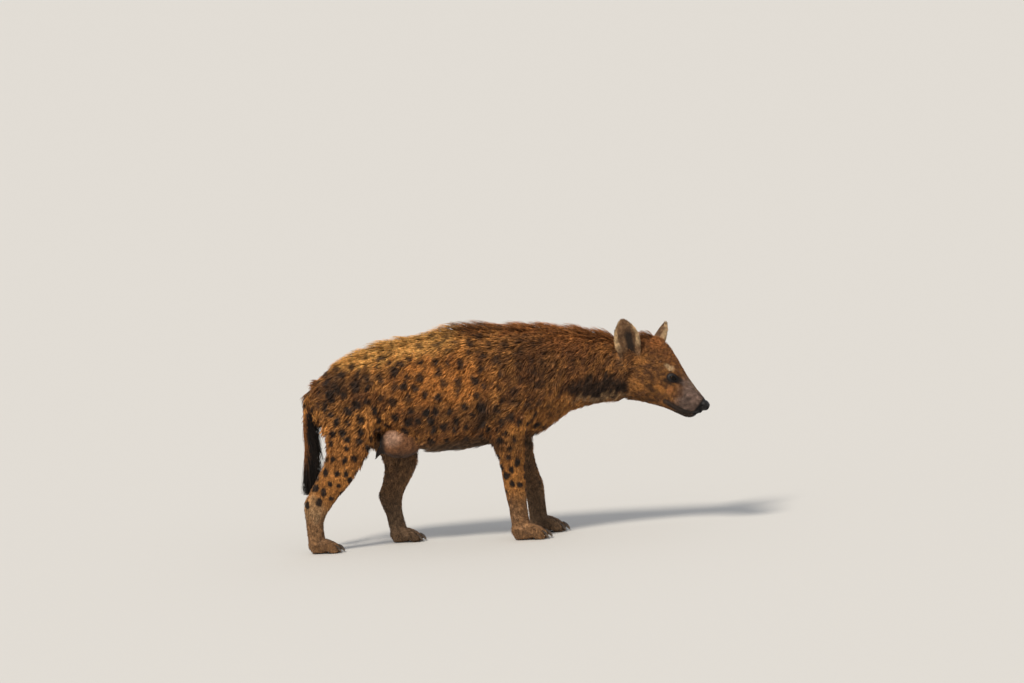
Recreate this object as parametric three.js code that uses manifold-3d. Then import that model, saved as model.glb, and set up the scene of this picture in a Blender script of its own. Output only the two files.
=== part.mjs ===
// A spotted hyena at life size: an adult female with milk, walking, her head held low and turned a little
// to her right. Millimetres. +X is the way she faces, +Y her left, +Z up, and the floor is z = 0.
import * as THREE from "three";
import { mergeVertices } from "three/addons/utils/BufferGeometryUtils.js";
import Module from "manifold-3d";

const wasm = await Module();
wasm.setup();

// Driving dimensions
const GAP = 0.3; // left between two pieces that touch
const LEFT = 1;
const RIGHT = -1;
const SIDES = [RIGHT, LEFT];

const HEAD_AT = new THREE.Vector3(513, 0, 569); // where skull and neck meet
const HEAD_PITCH = THREE.MathUtils.degToRad(34); // nose down
const HEAD_YAW = THREE.MathUtils.degToRad(-19); // nose to her right
const NECK_CUT_X = 262; // neck and torso part here, in front of the shoulder
const PAW_CUT_Z = 84; // leg and paw part here

const CREST_TALL = 17; // how far the tips of the long hair stand above back and neck
const CREST_FROM = -560; // where the crest starts on the rump, and where it ends at the nape
const CREST_TO = 500;
const CREST_STEP = 56; // from one lock to the next in a row
const CREST_ROW = 20; // from one row of locks to the next
const CREST_LOCK_LONG = 80;

const BRUSH_LOCKS = 14; // locks of the tail's brush
const BRUSH_LOCK_LONG = 140;

const EYE_RADIUS = 14.5;
const EYE_HALF_WIDE = 12.5; // of the opening between the lids
const EYE_AT = [133, 46, 30]; // in the head's frame, left eye
const EYE_LOOK = new THREE.Vector3(0.52, 0.82, 0.16).normalize();
const LID_THICK = 3.6;
const LIP_GAP = 1.6; // the closed mouth's line

const EAR_TALL = 150;
const EAR_HALF_WIDE = 47;
const EAR_HALF_DEEP = 24;
const EAR_WALL = 5;

const TOE_PITCH = 18.5; // from one toe to the next
const TOE_AHEAD = 9; // by which the two middle toes lead
const CLAW_LONG = 17;
const FORE_PAW = 1.06; // size of a forepaw
const HIND_PAW = 0.94;

// Directions that a loft's sections can be square to
const UPRIGHT = new THREE.Vector3(1, 0, 0);
const FLAT = new THREE.Vector3(0, 0, -1);

// A closed skin through oval sections. Each section has a centre, a half height up and down from it, a half
// width, how square it is (2 is an ellipse) and its egg, which widens the top. Sections stand square to
// "facing", or to the path where none is given. On a leg that is cut flat, "up" is its front and "down" its
// back. Swells are muscles and hollows that push the skin near them, most at their centre. Turn twists all
// the sections about the path.
function loft(
  sections,
  { around = 20, along = 20, facing = null, grow = 0, swells = [], turn = 0 } = {},
) {
  const through = (values) =>
    new THREE.CatmullRomCurve3(values.map((v) => new THREE.Vector3(...v)), false, "catmullrom");
  const path = through(sections.map((s) => s.at));
  const sizes = through(sections.map((s) => [s.up, s.down ?? s.up, s.half]));
  const forms = through(sections.map((s) => [s.square ?? 2, s.egg ?? 0, 0]));
  const geometry = new THREE.CylinderGeometry(1, 1, 1, around, along);
  const vertex = geometry.attributes.position;
  for (let i = 0; i < vertex.count; i++) {
    const share = vertex.getY(i) + 0.5;
    const tangent = facing ?? path.getTangent(share);
    const side = new THREE.Vector3(0, 1, 0).addScaledVector(tangent, -tangent.y).normalize();
    side.applyAxisAngle(tangent, turn);
    const up = tangent.clone().cross(side);
    const size = sizes.getPoint(share);
    const form = forms.getPoint(share);
    const bend = (v) => Math.sign(v) * Math.abs(v) ** (2 / form.x);
    const rise = bend(vertex.getZ(i));
    const across = bend(-vertex.getX(i)) * (1 + form.y * rise);
    const point = path.getPoint(share);
    point.addScaledVector(side, across * size.z).addScaledVector(up, rise * (rise > 0 ? size.x : size.y));
    for (const { at, reach, push } of swells) {
      const away = point.clone().sub(new THREE.Vector3(...at)).divide(new THREE.Vector3(...reach));
      const near = Math.max(0, 1 - away.lengthSq());
      point.addScaledVector(new THREE.Vector3(...push), near ** 2);
    }
    point.addScaledVector(side, across * grow).addScaledVector(up, rise * grow);
    if (share < 1e-6) point.addScaledVector(tangent, -grow);
    if (share > 1 - 1e-6) point.addScaledVector(tangent, grow);
    vertex.setXYZ(i, point.x, point.y, point.z);
  }
  return solid(geometry);
}

// A section that stands upright across the body, by its top and its bottom.
const slice = (x, top, bottom, half, form = {}) => ({
  at: [x, 0, (top + bottom) / 2],
  up: (top - bottom) / 2,
  half,
  ...form,
});

// A section of a limb: x, z, the distance from the middle plane, the reach forward and back, the half width.
const joint = (x, z, y, up, down, half) => ({ at: [x, y, z], up, down, half });

// A swell and its like on the other side.
const mirrored = ([x, y, z]) => [x, -y, z];
const both = (at, reach, push) => [
  { at, reach, push },
  { at: mirrored(at), reach, push: mirrored(push) },
];

// A size of a row of slices or joints at one place between two of them, along x (0) or z (2).
function between(sections, place, axis = 0) {
  const sign = Math.sign(sections.at(-1).at[axis] - sections[0].at[axis]);
  const next = sections.findIndex((s) => sign * (s.at[axis] - place) > 0);
  const [a, b] = [sections[next - 1], sections[next]];
  return (f) => THREE.MathUtils.mapLinear(place, a.at[axis], b.at[axis], f(a), f(b));
}

// Half the width of a body of upright slices at one place on its side.
function halfWidthAt(slices, x, z) {
  const mix = between(slices, x);
  const rise = Math.abs(z - mix((s) => s.at[2])) / mix((s) => s.up);
  const square = mix((s) => s.square ?? 2);
  return mix((s) => s.half) * (1 - Math.min(rise, 1) ** square) ** (1 / square);
}

// A three.js geometry as a closed solid, with its doubled vertices merged.
function solid(geometry) {
  geometry.deleteAttribute("normal");
  geometry.deleteAttribute("uv");
  const merged = mergeVertices(geometry, 1e-4);
  return new wasm.Manifold(
    new wasm.Mesh({
      numProp: 3,
      vertProperties: new Float32Array(merged.attributes.position.array),
      triVerts: new Uint32Array(merged.index.array),
    }),
  );
}

function ball([x, y, z], [rx, ry, rz], { around = 14, grow = 0 } = {}) {
  const geometry = new THREE.SphereGeometry(1, around, Math.round(around * 0.6));
  geometry.scale(rx + grow, ry + grow, rz + grow);
  geometry.translate(x, y, z);
  return solid(geometry);
}

const join = (...solids) => wasm.Manifold.union(solids);
const placed = (shape, matrix) => shape.transform(matrix.elements);

// The largest closed surface of a solid; scraps that a cut leaves are dropped.
const largest = (shape) => shape.decompose().sort((a, b) => b.volume() - a.volume())[0];

// What lies ahead of a plane, or behind it, half the gap away.
const ahead = (shape, normal, offset) => shape.trimByPlane(normal, offset + GAP / 2);
const behind = (shape, normal, offset) => shape.trimByPlane(normal.map((n) => -n), -offset + GAP / 2);

// Torso and neck: one long skin from rump to nape, before it is parted
const TRUNK = [
  slice(-646, 552, 480, 22), // buttocks
  slice(-630, 590, 452, 52),
  slice(-600, 628, 430, 76),
  slice(-545, 658, 416, 93), // croup
  slice(-465, 684, 406, 106),
  slice(-375, 709, 398, 119), // loin and flank, above the udder
  slice(-300, 725, 352, 131, { egg: -0.06 }),
  slice(-235, 738, 318, 138, { egg: -0.1 }), // belly
  slice(-165, 751, 317, 140, { egg: -0.1 }),
  slice(-90, 758, 323, 137, { egg: -0.08 }),
  slice(0, 752, 333, 129, { egg: -0.04 }),
  slice(85, 749, 340, 119), // chest and withers
  slice(150, 742, 358, 111),
  slice(205, 733, 391, 102),
  slice(262, 722, 427, 94, { egg: -0.04 }), // foot of the neck
  slice(330, 708, 446, 88, { egg: -0.06 }),
  slice(400, 694, 452, 85, { egg: -0.06 }),
  slice(470, 680, 456, 82),
  slice(530, 662, 470, 74), // nape
];
const TRUNK_SWELLS = [
  ...both([85, 118, 590], [150, 70, 150], [0, 13, 0]), // shoulder
  ...both([60, 45, 742], [75, 45, 50], [0, 4, 6]), // tops of the shoulder blades
  ...both([185, 95, 520], [80, 60, 100], [8, 5, 0]), // point of the shoulder
  ...both([-560, 82, 585], [110, 60, 110], [0, 10, 0]), // haunch
  ...both([-395, 118, 540], [95, 60, 120], [0, -11, 0]), // hollow of the flank
  ...both([-520, 40, 660], [90, 45, 50], [0, 3, 5]), // hip bones
];
const trunk = (grow) =>
  loft(TRUNK, { around: 20, along: 28, facing: UPRIGHT, grow, swells: TRUNK_SWELLS });

// How high the back's surface is at one place, between the slices.
function backAt(x, y) {
  const mix = between(TRUNK, x);
  return mix((s) => s.at[2]) + mix((s) => s.up) * Math.sqrt(1 - (y / mix((s) => s.half)) ** 2);
}

// A lock of long hair: flat, tapered and bent, through four points from its sunk root to its tip.
const draw = (low, high) => THREE.MathUtils.lerp(low, high, THREE.MathUtils.seededRandom());
const LOCK_WIDE = [0.75, 1, 0.72, 0.14];
const LOCK_THICK = [1, 1, 0.7, 0.25];
function lock(way, wide, thick, turn = 0) {
  const sections = way.map((at, i) => ({ at, up: thick * LOCK_THICK[i], half: wide * LOCK_WIDE[i] }));
  return loft(sections, { around: 4, along: 3, turn });
}

// The crest: three rows of locks that rise from back and neck and lie backward over each other.
function crest() {
  THREE.MathUtils.seededRandom(11);
  const locks = [];
  for (const row of [-1, 0, 1]) {
    const stagger = row === 0 ? 0 : CREST_STEP / 2;
    for (let x = CREST_FROM + stagger; x < CREST_TO; x += CREST_STEP) {
      const long = CREST_LOCK_LONG * draw(0.85, 1.15);
      const onRump = THREE.MathUtils.smoothstep(x, CREST_FROM, CREST_FROM + 200);
      const tall = CREST_TALL * THREE.MathUtils.lerp(0.3, 1, onRump) * draw(0.75, 1.1) - 3 * row * row;
      const y = CREST_ROW * row + draw(-3, 3);
      const lean = y * 0.25 + draw(-4, 4);
      const at = (back, rise, aside) => [
        x - back * long,
        y + aside * lean,
        backAt(Math.max(x - back * long, TRUNK[1].at[0]), y) + rise,
      ];
      const way = [at(-0.1, -11, 0), at(0.2, 0.25 * tall, 0.1), at(0.62, 0.8 * tall, 0.5), at(1, tall, 1)];
      locks.push(lock(way, draw(12, 15), 4, -0.35 * row));
    }
  }
  return locks;
}

// Legs, each from its hidden root inside the torso to the paw
const FORELEG = {
  [RIGHT]: [
    joint(84, 665, 58, 60, 60, 22), // shoulder blade
    joint(90, 600, 82, 84, 86, 34),
    joint(88, 520, 89, 92, 98, 42), // point of the shoulder, and triceps
    joint(62, 445, 90, 86, 92, 43),
    joint(30, 388, 87, 74, 68, 40), // elbow
    joint(36, 338, 84, 68, 60, 36),
    joint(43, 288, 82, 50, 47, 32), // forearm
    joint(46, 230, 81, 43, 43, 29),
    joint(50, 178, 81, 41, 42, 30), // wrist
    joint(53, 130, 81, 35, 36, 28),
    joint(57, 84, 82, 33, 34, 30),
    joint(60, 44, 82, 32, 33, 32),
  ],
  [LEFT]: [
    joint(88, 665, 58, 60, 60, 22),
    joint(94, 600, 82, 84, 86, 34),
    joint(94, 520, 89, 92, 98, 42),
    joint(74, 445, 90, 86, 92, 43),
    joint(58, 388, 87, 72, 68, 40),
    joint(66, 336, 84, 64, 59, 36),
    joint(77, 284, 82, 49, 47, 32),
    joint(91, 228, 81, 43, 43, 29),
    joint(111, 174, 81, 42, 42, 30),
    joint(118, 128, 81, 35, 35, 28),
    joint(121, 84, 82, 33, 34, 30),
    joint(124, 44, 82, 32, 33, 32),
  ],
};
const HINDLEG = {
  [RIGHT]: [
    joint(-530, 612, 26, 50, 44, 16), // hip
    joint(-524, 588, 60, 92, 92, 34),
    joint(-516, 530, 70, 110, 104, 42),
    joint(-513, 472, 74, 116, 107, 45), // thigh
    joint(-514, 404, 76, 96, 92, 43),
    joint(-524, 348, 78, 82, 82, 39), // knee
    joint(-556, 292, 78, 74, 74, 34),
    joint(-590, 240, 77, 70, 70, 30),
    joint(-625, 196, 76, 61, 65, 28),
    joint(-646, 158, 76, 50, 54, 27), // hock
    joint(-657, 120, 76, 34, 35, 26),
    joint(-660, 84, 76, 31, 32, 28),
    joint(-656, 44, 76, 31, 32, 30),
  ],
  [LEFT]: [
    joint(-526, 612, 26, 50, 44, 16),
    joint(-512, 588, 60, 94, 92, 34),
    joint(-492, 530, 70, 112, 110, 42),
    joint(-468, 476, 74, 112, 112, 45),
    joint(-422, 408, 76, 96, 96, 43),
    joint(-369, 350, 78, 79, 81, 39),
    joint(-345, 300, 78, 67, 67, 34),
    joint(-352, 254, 77, 58, 59, 30),
    joint(-372, 206, 76, 49, 50, 28),
    joint(-393, 162, 76, 46, 47, 27),
    joint(-385, 120, 76, 33, 34, 26),
    joint(-378, 84, 76, 31, 32, 28),
    joint(-371, 44, 76, 31, 32, 30),
  ],
};
const sided = (sections, side) =>
  sections.map((s) => ({ ...s, at: [s.at[0], side * s.at[1], s.at[2]] }));
const limb = (sections, side, grow = 0) =>
  loft(sided(sections, side), { around: 11, along: 15, facing: FLAT, grow });

// Paws: a palm, four short toes close together on flat pads, and a blunt claw on each toe
// Where a toe's axis runs: from the palm over its knuckle down to the pad.
function toeLine(ankle, k, size) {
  const rank = k - 1.5;
  const lead = Math.abs(rank) < 1 ? TOE_AHEAD : 0;
  return (x, z) => [
    ankle.x + (x + (lead * x) / 60) * size,
    ankle.y + rank * (TOE_PITCH + x * 0.03) * size,
    z * size,
  ];
}

function toe(ankle, k, size, grow = 0) {
  const line = toeLine(ankle, k, size);
  const round = (x, z, up, down, half) => ({
    at: line(x, z),
    up: up * size,
    down: down * size,
    half: half * size,
    square: 2.3,
  });
  const sections = [
    round(12, 42, 10, 22, 9),
    round(32, 41, 13, 32, 11),
    round(50, 34, 13, 38, 11.4),
    round(64, 25, 10, 30, 10.4),
    round(72, 20, 6, 20, 7),
    round(76, 18, 2, 12, 3),
  ];
  return loft(sections, { around: 6, along: 4, facing: UPRIGHT, grow });
}

function claw(ankle, k, size) {
  const line = toeLine(ankle, k, size);
  const tip = 70 + CLAW_LONG;
  const round = (x, z, r) => ({ at: line(x, z), up: r * size, down: r * size, half: r * 0.75 * size });
  const horn = loft([round(64, 27, 6), round(76, 24, 6), round(tip - 7, 15, 4.6), round(tip, 6, 2.4)], {
    around: 4,
    along: 2,
  });
  return horn.subtract(toe(ankle, k, size, GAP));
}

function paw(ankle, size) {
  const round = (x, z, up, down, half) => ({
    at: [ankle.x + x * size, ankle.y, z * size],
    up: up * size,
    down: down * size,
    half: half * size,
  });
  const palm = loft(
    [
      round(-34, 36, 8, 12, 14),
      round(-24, 36, 24, 36, 26),
      round(0, 42, 26, 46, 33),
      round(24, 40, 20, 44, 36),
      round(42, 34, 16, 32, 33),
      round(50, 30, 6, 14, 20),
    ],
    { around: 8, along: 4, facing: UPRIGHT },
  );
  return join(palm, ...[0, 1, 2, 3].map((k) => toe(ankle, k, size)));
}

// Tail: a short dock, then a brush of long black hair whose locks hang round a slim core
const TAIL = [
  joint(-596, 590, 0, 24, 26, 22),
  joint(-632, 560, 0, 22, 24, 22),
  joint(-650, 510, 0, 19, 20, 20),
  joint(-653, 440, 0, 24, 22, 23),
  joint(-650, 370, 0, 30, 28, 27),
  joint(-647, 305, 0, 32, 31, 27),
  joint(-656, 250, 0, 24, 22, 20),
  joint(-670, 205, 0, 6, 7, 6),
];
const BRUSH_FROM = 2; // the section where the brush begins
const BRUSH_TOP_Z = 540;
const BRUSH_TIP_Z = 205;
const GOLDEN_ANGLE = 2.4; // spreads the locks evenly round the tail

// The brush's outline at one height: a point as far out as a share of it, at an angle round the tail.
function brushAt(z, angle, share) {
  const height = Math.max(z, BRUSH_TIP_Z + 1);
  const mix = between(TAIL, height, 2);
  const reach = mix((s) => (Math.cos(angle) > 0 ? s.up : s.down));
  return [
    mix((s) => s.at[0]) + share * reach * Math.cos(angle),
    share * mix((s) => s.half) * Math.sin(angle),
    height,
  ];
}

function tail() {
  THREE.MathUtils.seededRandom(23);
  const core = TAIL.slice(0, -1).map((s, i) => {
    const slim = i < BRUSH_FROM ? 1 : 0.5;
    return { ...s, up: s.up * slim, down: s.down * slim, half: s.half * slim };
  });
  const locks = [];
  for (let i = 0; i < BRUSH_LOCKS; i++) {
    const share = i / (BRUSH_LOCKS - 1);
    const angle = i * GOLDEN_ANGLE;
    const long = BRUSH_LOCK_LONG * draw(0.85, 1.1);
    const root = THREE.MathUtils.lerp(BRUSH_TOP_Z, BRUSH_TIP_Z + 0.8 * BRUSH_LOCK_LONG, share);
    const way = [
      brushAt(root, angle, 0.25),
      brushAt(root - 0.3 * long, angle, 0.8),
      brushAt(root - 0.7 * long, angle, 0.85),
      brushAt(root - long, angle, draw(0.6, 0.95)),
    ];
    locks.push(lock(way, draw(13, 17), 5, -angle));
  }
  return join(loft(core, { around: 8, along: 9 }), ...locks);
}

// Udder: two full lobes between the hind legs, a teat on each. The left leg is forward and crowds its lobe.
const UDDER_X = -340;
const UDDER_Z = 368;
const UDDER_Y = { [RIGHT]: 54, [LEFT]: 24 };
const UDDER_SIZE = [79, 46, 60];
const TEAT = [
  { at: [-396, 0, 356], up: 17, half: 14 },
  { at: [-416, 0, 340], up: 12, half: 11 },
  { at: [-428, 0, 324], up: 8, half: 8 },
  { at: [-432, 0, 313], up: 4, half: 4 },
];

// Head, in its own frame: +X along the muzzle, origin where skull and neck meet
const SKULL = [
  slice(-62, 92, -100, 58),
  slice(-24, 117, -128, 73),
  slice(14, 129, -124, 80, { egg: -0.1 }), // crown and cheeks
  slice(50, 121, -109, 81, { egg: -0.14 }),
  slice(84, 104, -97, 77, { egg: -0.12 }),
  slice(112, 89, -88, 68, { egg: -0.06 }), // brow
  slice(138, 76, -80, 58), // eyes
  slice(162, 63, -75, 51, { square: 2.1 }),
  slice(186, 51, -71, 47, { square: 2.3 }),
  slice(210, 41, -69, 45, { square: 2.4 }), // muzzle
  slice(232, 33, -66, 43, { square: 2.5 }),
  slice(250, 27, -59, 39, { square: 2.5 }),
  slice(262, 22, -48, 32, { square: 2.4 }),
  slice(270, 15, -34, 21, { square: 2.2 }),
  slice(274, 4, -22, 8),
];
const SKULL_SWELLS = [
  ...both([80, 78, 2], [62, 50, 34], [0, 6, 0]), // cheekbone
  ...both([58, 70, -52], [80, 60, 62], [0, 9, -2]), // chewing muscle
  ...both([120, 42, 60], [34, 32, 28], [2, 6, 4]), // brow
  ...both([142, 58, 26], [27, 26, 22], [0, -7, 0]), // eye socket
  ...both([180, 48, 10], [42, 32, 36], [0, -6, -1]), // hollow before the eye
  ...both([226, 42, -26], [44, 30, 34], [0, 6, -1]), // whisker pad
  ...both([-6, 62, 66], [52, 48, 46], [-2, 8, 6]), // root of the ear
  { at: [150, 0, 74], reach: [64, 20, 40], push: [0, 0, -5] }, // furrow between the eyes
];
const head = (grow = 0) =>
  loft(SKULL, { around: 26, along: 24, facing: UPRIGHT, grow, swells: SKULL_SWELLS });

// The line of the mouth from the side, from under the nose back to its corner, then down behind the chin.
const MOUTH_FRONT = [
  [300, -18],
  [273, -27],
  [253, -40],
  [226, -47],
  [190, -46],
  [156, -42],
];
const MOUTH_REAR = [
  [142, -51],
  [118, -114],
];
const UNDER_HEAD = -160;
const BESIDE_HEAD = 120;
const MOUTH_CURVE = new THREE.SplineCurve(MOUTH_FRONT.map((p) => new THREE.Vector2(...p)));

// An upright slab of the head seen from the side: everything under the mouth line and ahead of its end.
function underMouth(raise) {
  const shape = new THREE.Shape([
    ...MOUTH_CURVE.getPoints(12).map((p) => new THREE.Vector2(p.x, p.y + raise)),
    ...MOUTH_REAR.map(([x, z]) => new THREE.Vector2(x - raise, z)),
    new THREE.Vector2(MOUTH_REAR.at(-1)[0] - raise, UNDER_HEAD),
    new THREE.Vector2(MOUTH_FRONT[0][0], UNDER_HEAD),
  ]);
  const geometry = new THREE.ExtrudeGeometry(shape, { depth: 2 * BESIDE_HEAD, bevelEnabled: false });
  geometry.rotateX(Math.PI / 2); // the shape's y becomes z, and its depth runs along -y
  geometry.translate(0, BESIDE_HEAD, 0);
  return solid(geometry);
}

// A lip is a soft roll that follows the mouth line round the muzzle, up to a share of it. It rises above
// the line, or hangs below it.
function lip({ slices, rise, radius, frontShare, front }) {
  const row = [0, 0.25, 0.5, 0.75, 0.9, 1].map((step) => {
    const { x, y: z } = MOUTH_CURVE.getPoint(THREE.MathUtils.lerp(0.9, frontShare, step));
    return [x, halfWidthAt(slices, x, z + rise) - radius * 0.35, z + rise];
  });
  const way = [...row.map(mirrored), front, ...row.reverse()];
  const path = new THREE.CatmullRomCurve3(way.map((p) => new THREE.Vector3(...p)));
  const geometry = new THREE.ExtrudeGeometry(new THREE.Shape().absarc(0, 0, radius, 0, 2 * Math.PI), {
    extrudePath: path,
    steps: 13,
    curveSegments: 3,
    bevelEnabled: false,
  });
  return solid(geometry);
}

// The lower jaw is a little narrower than the upper lips.
const JAW = [
  slice(96, -30, -92, 55),
  slice(130, -30, -82, 48),
  slice(165, -30, -75, 43, { square: 2.1 }),
  slice(200, -30, -70, 40, { square: 2.2 }),
  slice(228, -30, -67, 37, { square: 2.3 }),
  slice(246, -29, -61, 30, { square: 2.3 }),
  slice(259, -28, -48, 17),
];

const UPPER_LIP = { slices: SKULL, rise: 4, radius: 4.6, frontShare: 0.27, front: [266, 0, -29] };
const LOWER_LIP = { slices: JAW, rise: -4, radius: 3.6, frontShare: 0.42, front: [256, 0, -42] };

const NOSE = [
  slice(256, 19, -11, 20),
  slice(266, 23, -15, 25, { egg: 0.12 }),
  slice(277, 21, -15, 26, { egg: 0.16 }),
  slice(286, 15, -9, 20, { egg: 0.14 }),
  slice(290, 8, -2, 10),
];
const nostril = (side) => ball([290, side * 12, 4], [13, 6, 6], { around: 10 });
const nose = (grow = 0) => loft(NOSE, { around: 14, along: 6, facing: UPRIGHT, grow });

// Eyes: a ball in its socket behind two lids
const eyeAt = (side) => [EYE_AT[0], side * EYE_AT[1], EYE_AT[2]];
const eyeball = (side, more) => ball(eyeAt(side), Array(3).fill(EYE_RADIUS + more), { around: 12 });
function eyeFrame(side) {
  const look = new THREE.Vector3(EYE_LOOK.x, side * EYE_LOOK.y, EYE_LOOK.z);
  const level = new THREE.Vector3(0, 0, 1).cross(look).normalize();
  return new THREE.Matrix4().makeBasis(level, look.clone().cross(level), look).setPosition(...eyeAt(side));
}

// The almond opening between the lids, pushed out along the look.
function lidOpening(side) {
  const shape = new THREE.Shape();
  shape.moveTo(-EYE_HALF_WIDE, -1);
  shape.quadraticCurveTo(-2, -14, EYE_HALF_WIDE, 0);
  shape.quadraticCurveTo(0, 14, -EYE_HALF_WIDE, -1);
  const geometry = new THREE.ExtrudeGeometry(shape, { depth: 40, bevelEnabled: false, curveSegments: 5 });
  return placed(solid(geometry), eyeFrame(side));
}

// Ears: a deep cup with a thin rim, broad and round-topped
// In the ear's frame +Z runs from root to tip and +X is the way that the cup opens.
function earShell(shift, shrink, tall) {
  const ring = (z, wide, deep) => ({
    at: [shift, 0, z * tall],
    up: deep * EAR_HALF_DEEP - shrink * 0.6,
    half: wide * EAR_HALF_WIDE - shrink,
  });
  const rings = [
    ring(-0.18, 0.5, 0.95),
    ring(0.05, 0.74, 1),
    ring(0.3, 0.97, 0.95),
    ring(0.52, 1, 0.78),
    ring(0.74, 0.82, 0.55),
    ring(0.9, 0.5, 0.36),
    ring(1, 0.16, 0.26),
  ];
  return loft(rings, { around: 14, along: 8 });
}

// Where each ear is rooted in the head's frame, where its tip points and where its cup opens.
const EAR_POSE = {
  [RIGHT]: { root: [-17, -78, 12], tip: [-0.58, -0.36, 0.7], face: [0.42, -0.9, 0.1] },
  [LEFT]: { root: [6, 70, 32], tip: [-0.24, 0.3, 0.92], face: [0.8, 0.58, 0.05] },
};
function ear({ root, tip, face }) {
  const rise = new THREE.Vector3(...tip).normalize();
  const across = rise.clone().cross(new THREE.Vector3(...face)).normalize();
  const frame = new THREE.Matrix4().makeBasis(across.clone().cross(rise), across, rise);
  frame.setPosition(...root);
  const hollow = earShell(EAR_WALL + 9, EAR_WALL, EAR_TALL * 0.97);
  return placed(earShell(0, 0, EAR_TALL).subtract(hollow), frame);
}

// Colours and finishes
const finish = (color, roughness) => new THREE.MeshStandardMaterial({ color, roughness, metalness: 0 });
const COAT = finish("#7a4a24", 0.9);
const NECK_COAT = finish("#5f3a22", 0.9);
const FACE_COAT = finish("#6b4a32", 0.85);
const LEG_COAT = finish("#80552f", 0.9);
const PAW_COAT = finish("#54402f", 0.9);
const TAIL_HAIR = finish("#1d1815", 0.85);
const BARE_SKIN = finish("#8c6a5a", 0.7);
const DARK_SKIN = finish("#2a2220", 0.5);
const EAR_SKIN = finish("#77583f", 0.85);
const EYE = finish("#1a120c", 0.1);
const HORN = finish("#3b3029", 0.45);

// Parting it all into named pieces
const hyena = new THREE.Group();
const headGroup = new THREE.Group();
headGroup.position.copy(HEAD_AT);
headGroup.rotation.set(0, HEAD_PITCH, HEAD_YAW, "YZX");
headGroup.updateMatrix();
hyena.add(headGroup);

function add(name, shape, material, parent = hyena) {
  const { vertProperties, triVerts } = largest(shape).getMesh();
  const geometry = new THREE.BufferGeometry();
  geometry.setAttribute("position", new THREE.BufferAttribute(vertProperties, 3));
  geometry.setIndex(new THREE.BufferAttribute(triVerts, 1));
  geometry.computeVertexNormals();
  const mesh = new THREE.Mesh(geometry, material);
  mesh.name = name;
  parent.add(mesh);
}

const sideName = { [RIGHT]: "right", [LEFT]: "left" };
const body = join(trunk(0), ...crest());
const bodyGrown = trunk(GAP);
const headGrown = head(GAP);
const headToWorld = headGroup.matrix;
const worldToHead = headToWorld.clone().invert();

// Legs and paws
const legRoom = [];
for (const side of SIDES) {
  for (const [word, legs, size] of [
    ["fore", FORELEG, FORE_PAW],
    ["hind", HINDLEG, HIND_PAW],
  ]) {
    const foot = legs[side].at(-1).at;
    const ankle = { x: foot[0], y: side * foot[1] };
    const whole = limb(legs[side], side).add(paw(ankle, size)).trimByPlane([0, 0, 1], 0);
    const room = limb(legs[side], side, GAP);
    add(`${word}leg_${sideName[side]}`, ahead(whole, [0, 0, 1], PAW_CUT_Z), LEG_COAT);
    add(`${word}paw_${sideName[side]}`, behind(whole, [0, 0, 1], PAW_CUT_Z), PAW_COAT);
    for (let k = 0; k < 4; k++)
      add(`claw_${word}_${sideName[side]}_${k + 1}`, claw(ankle, k, size), HORN);
    legRoom.push(room);
  }
}

// Head, jaw, nose, eyes and ears
let skull = head().add(lip(UPPER_LIP));
for (const side of SIDES) {
  skull = skull.add(eyeball(side, LID_THICK)).subtract(eyeball(side, GAP)).subtract(lidOpening(side));
  add(`eye_${sideName[side]}`, eyeball(side, 0), EYE, headGroup);
  const shape = ear(EAR_POSE[side]).subtract(headGrown).subtract(placed(bodyGrown, worldToHead));
  add(`ear_${sideName[side]}`, shape, EAR_SKIN, headGroup);
}
add("nose", nose().subtract(join(...SIDES.map(nostril))), DARK_SKIN, headGroup);
add("head", skull.subtract(nose(GAP)).subtract(underMouth(LIP_GAP / 2)), FACE_COAT, headGroup);
const jaw = loft(JAW, { around: 16, along: 7, facing: UPRIGHT }).add(lip(LOWER_LIP));
add("lower_jaw", jaw.intersect(underMouth(-LIP_GAP / 2)), FACE_COAT, headGroup);

// Torso, neck, tail and udder
const neighbours = join(...legRoom, placed(headGrown, headToWorld));
const bodyAlone = body.subtract(neighbours);
add("neck", ahead(bodyAlone, [1, 0, 0], NECK_CUT_X), NECK_COAT);
add("torso", behind(bodyAlone, [1, 0, 0], NECK_CUT_X), COAT);
add("tail", tail().subtract(bodyGrown).subtract(neighbours), TAIL_HAIR);
const udder = join(
  ...SIDES.flatMap((side) => [
    ball([UDDER_X, side * UDDER_Y[side], UDDER_Z], UDDER_SIZE, { around: 11 }),
    loft(TEAT.map((s) => ({ ...s, at: [s.at[0], side * UDDER_Y[side], s.at[2]] })), { around: 7, along: 4 }),
  ]),
);
add("udder", udder.subtract(bodyGrown).subtract(neighbours), BARE_SKIN);

// The part's origin is on the floor, under the middle of its box.
hyena.updateMatrixWorld(true);
const middle = new THREE.Box3().setFromObject(hyena, true).getCenter(new THREE.Vector3());
hyena.position.set(-middle.x, -middle.y, 0);

export default hyena;
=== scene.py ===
# %% [markdown]
# # A spotted hyena at life size
# The animal is an adult female, walking with her head low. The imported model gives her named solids: torso,
# neck, head, legs, paws, tail, udder, eyes and claws. This lesson dresses them: one skin over all the flesh,
# a coat of mesh tufts that lies backward and down, a crest along the back, a black brush on the tail, wet
# eyes, horn claws, and dark markings that skin and coat share.

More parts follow.
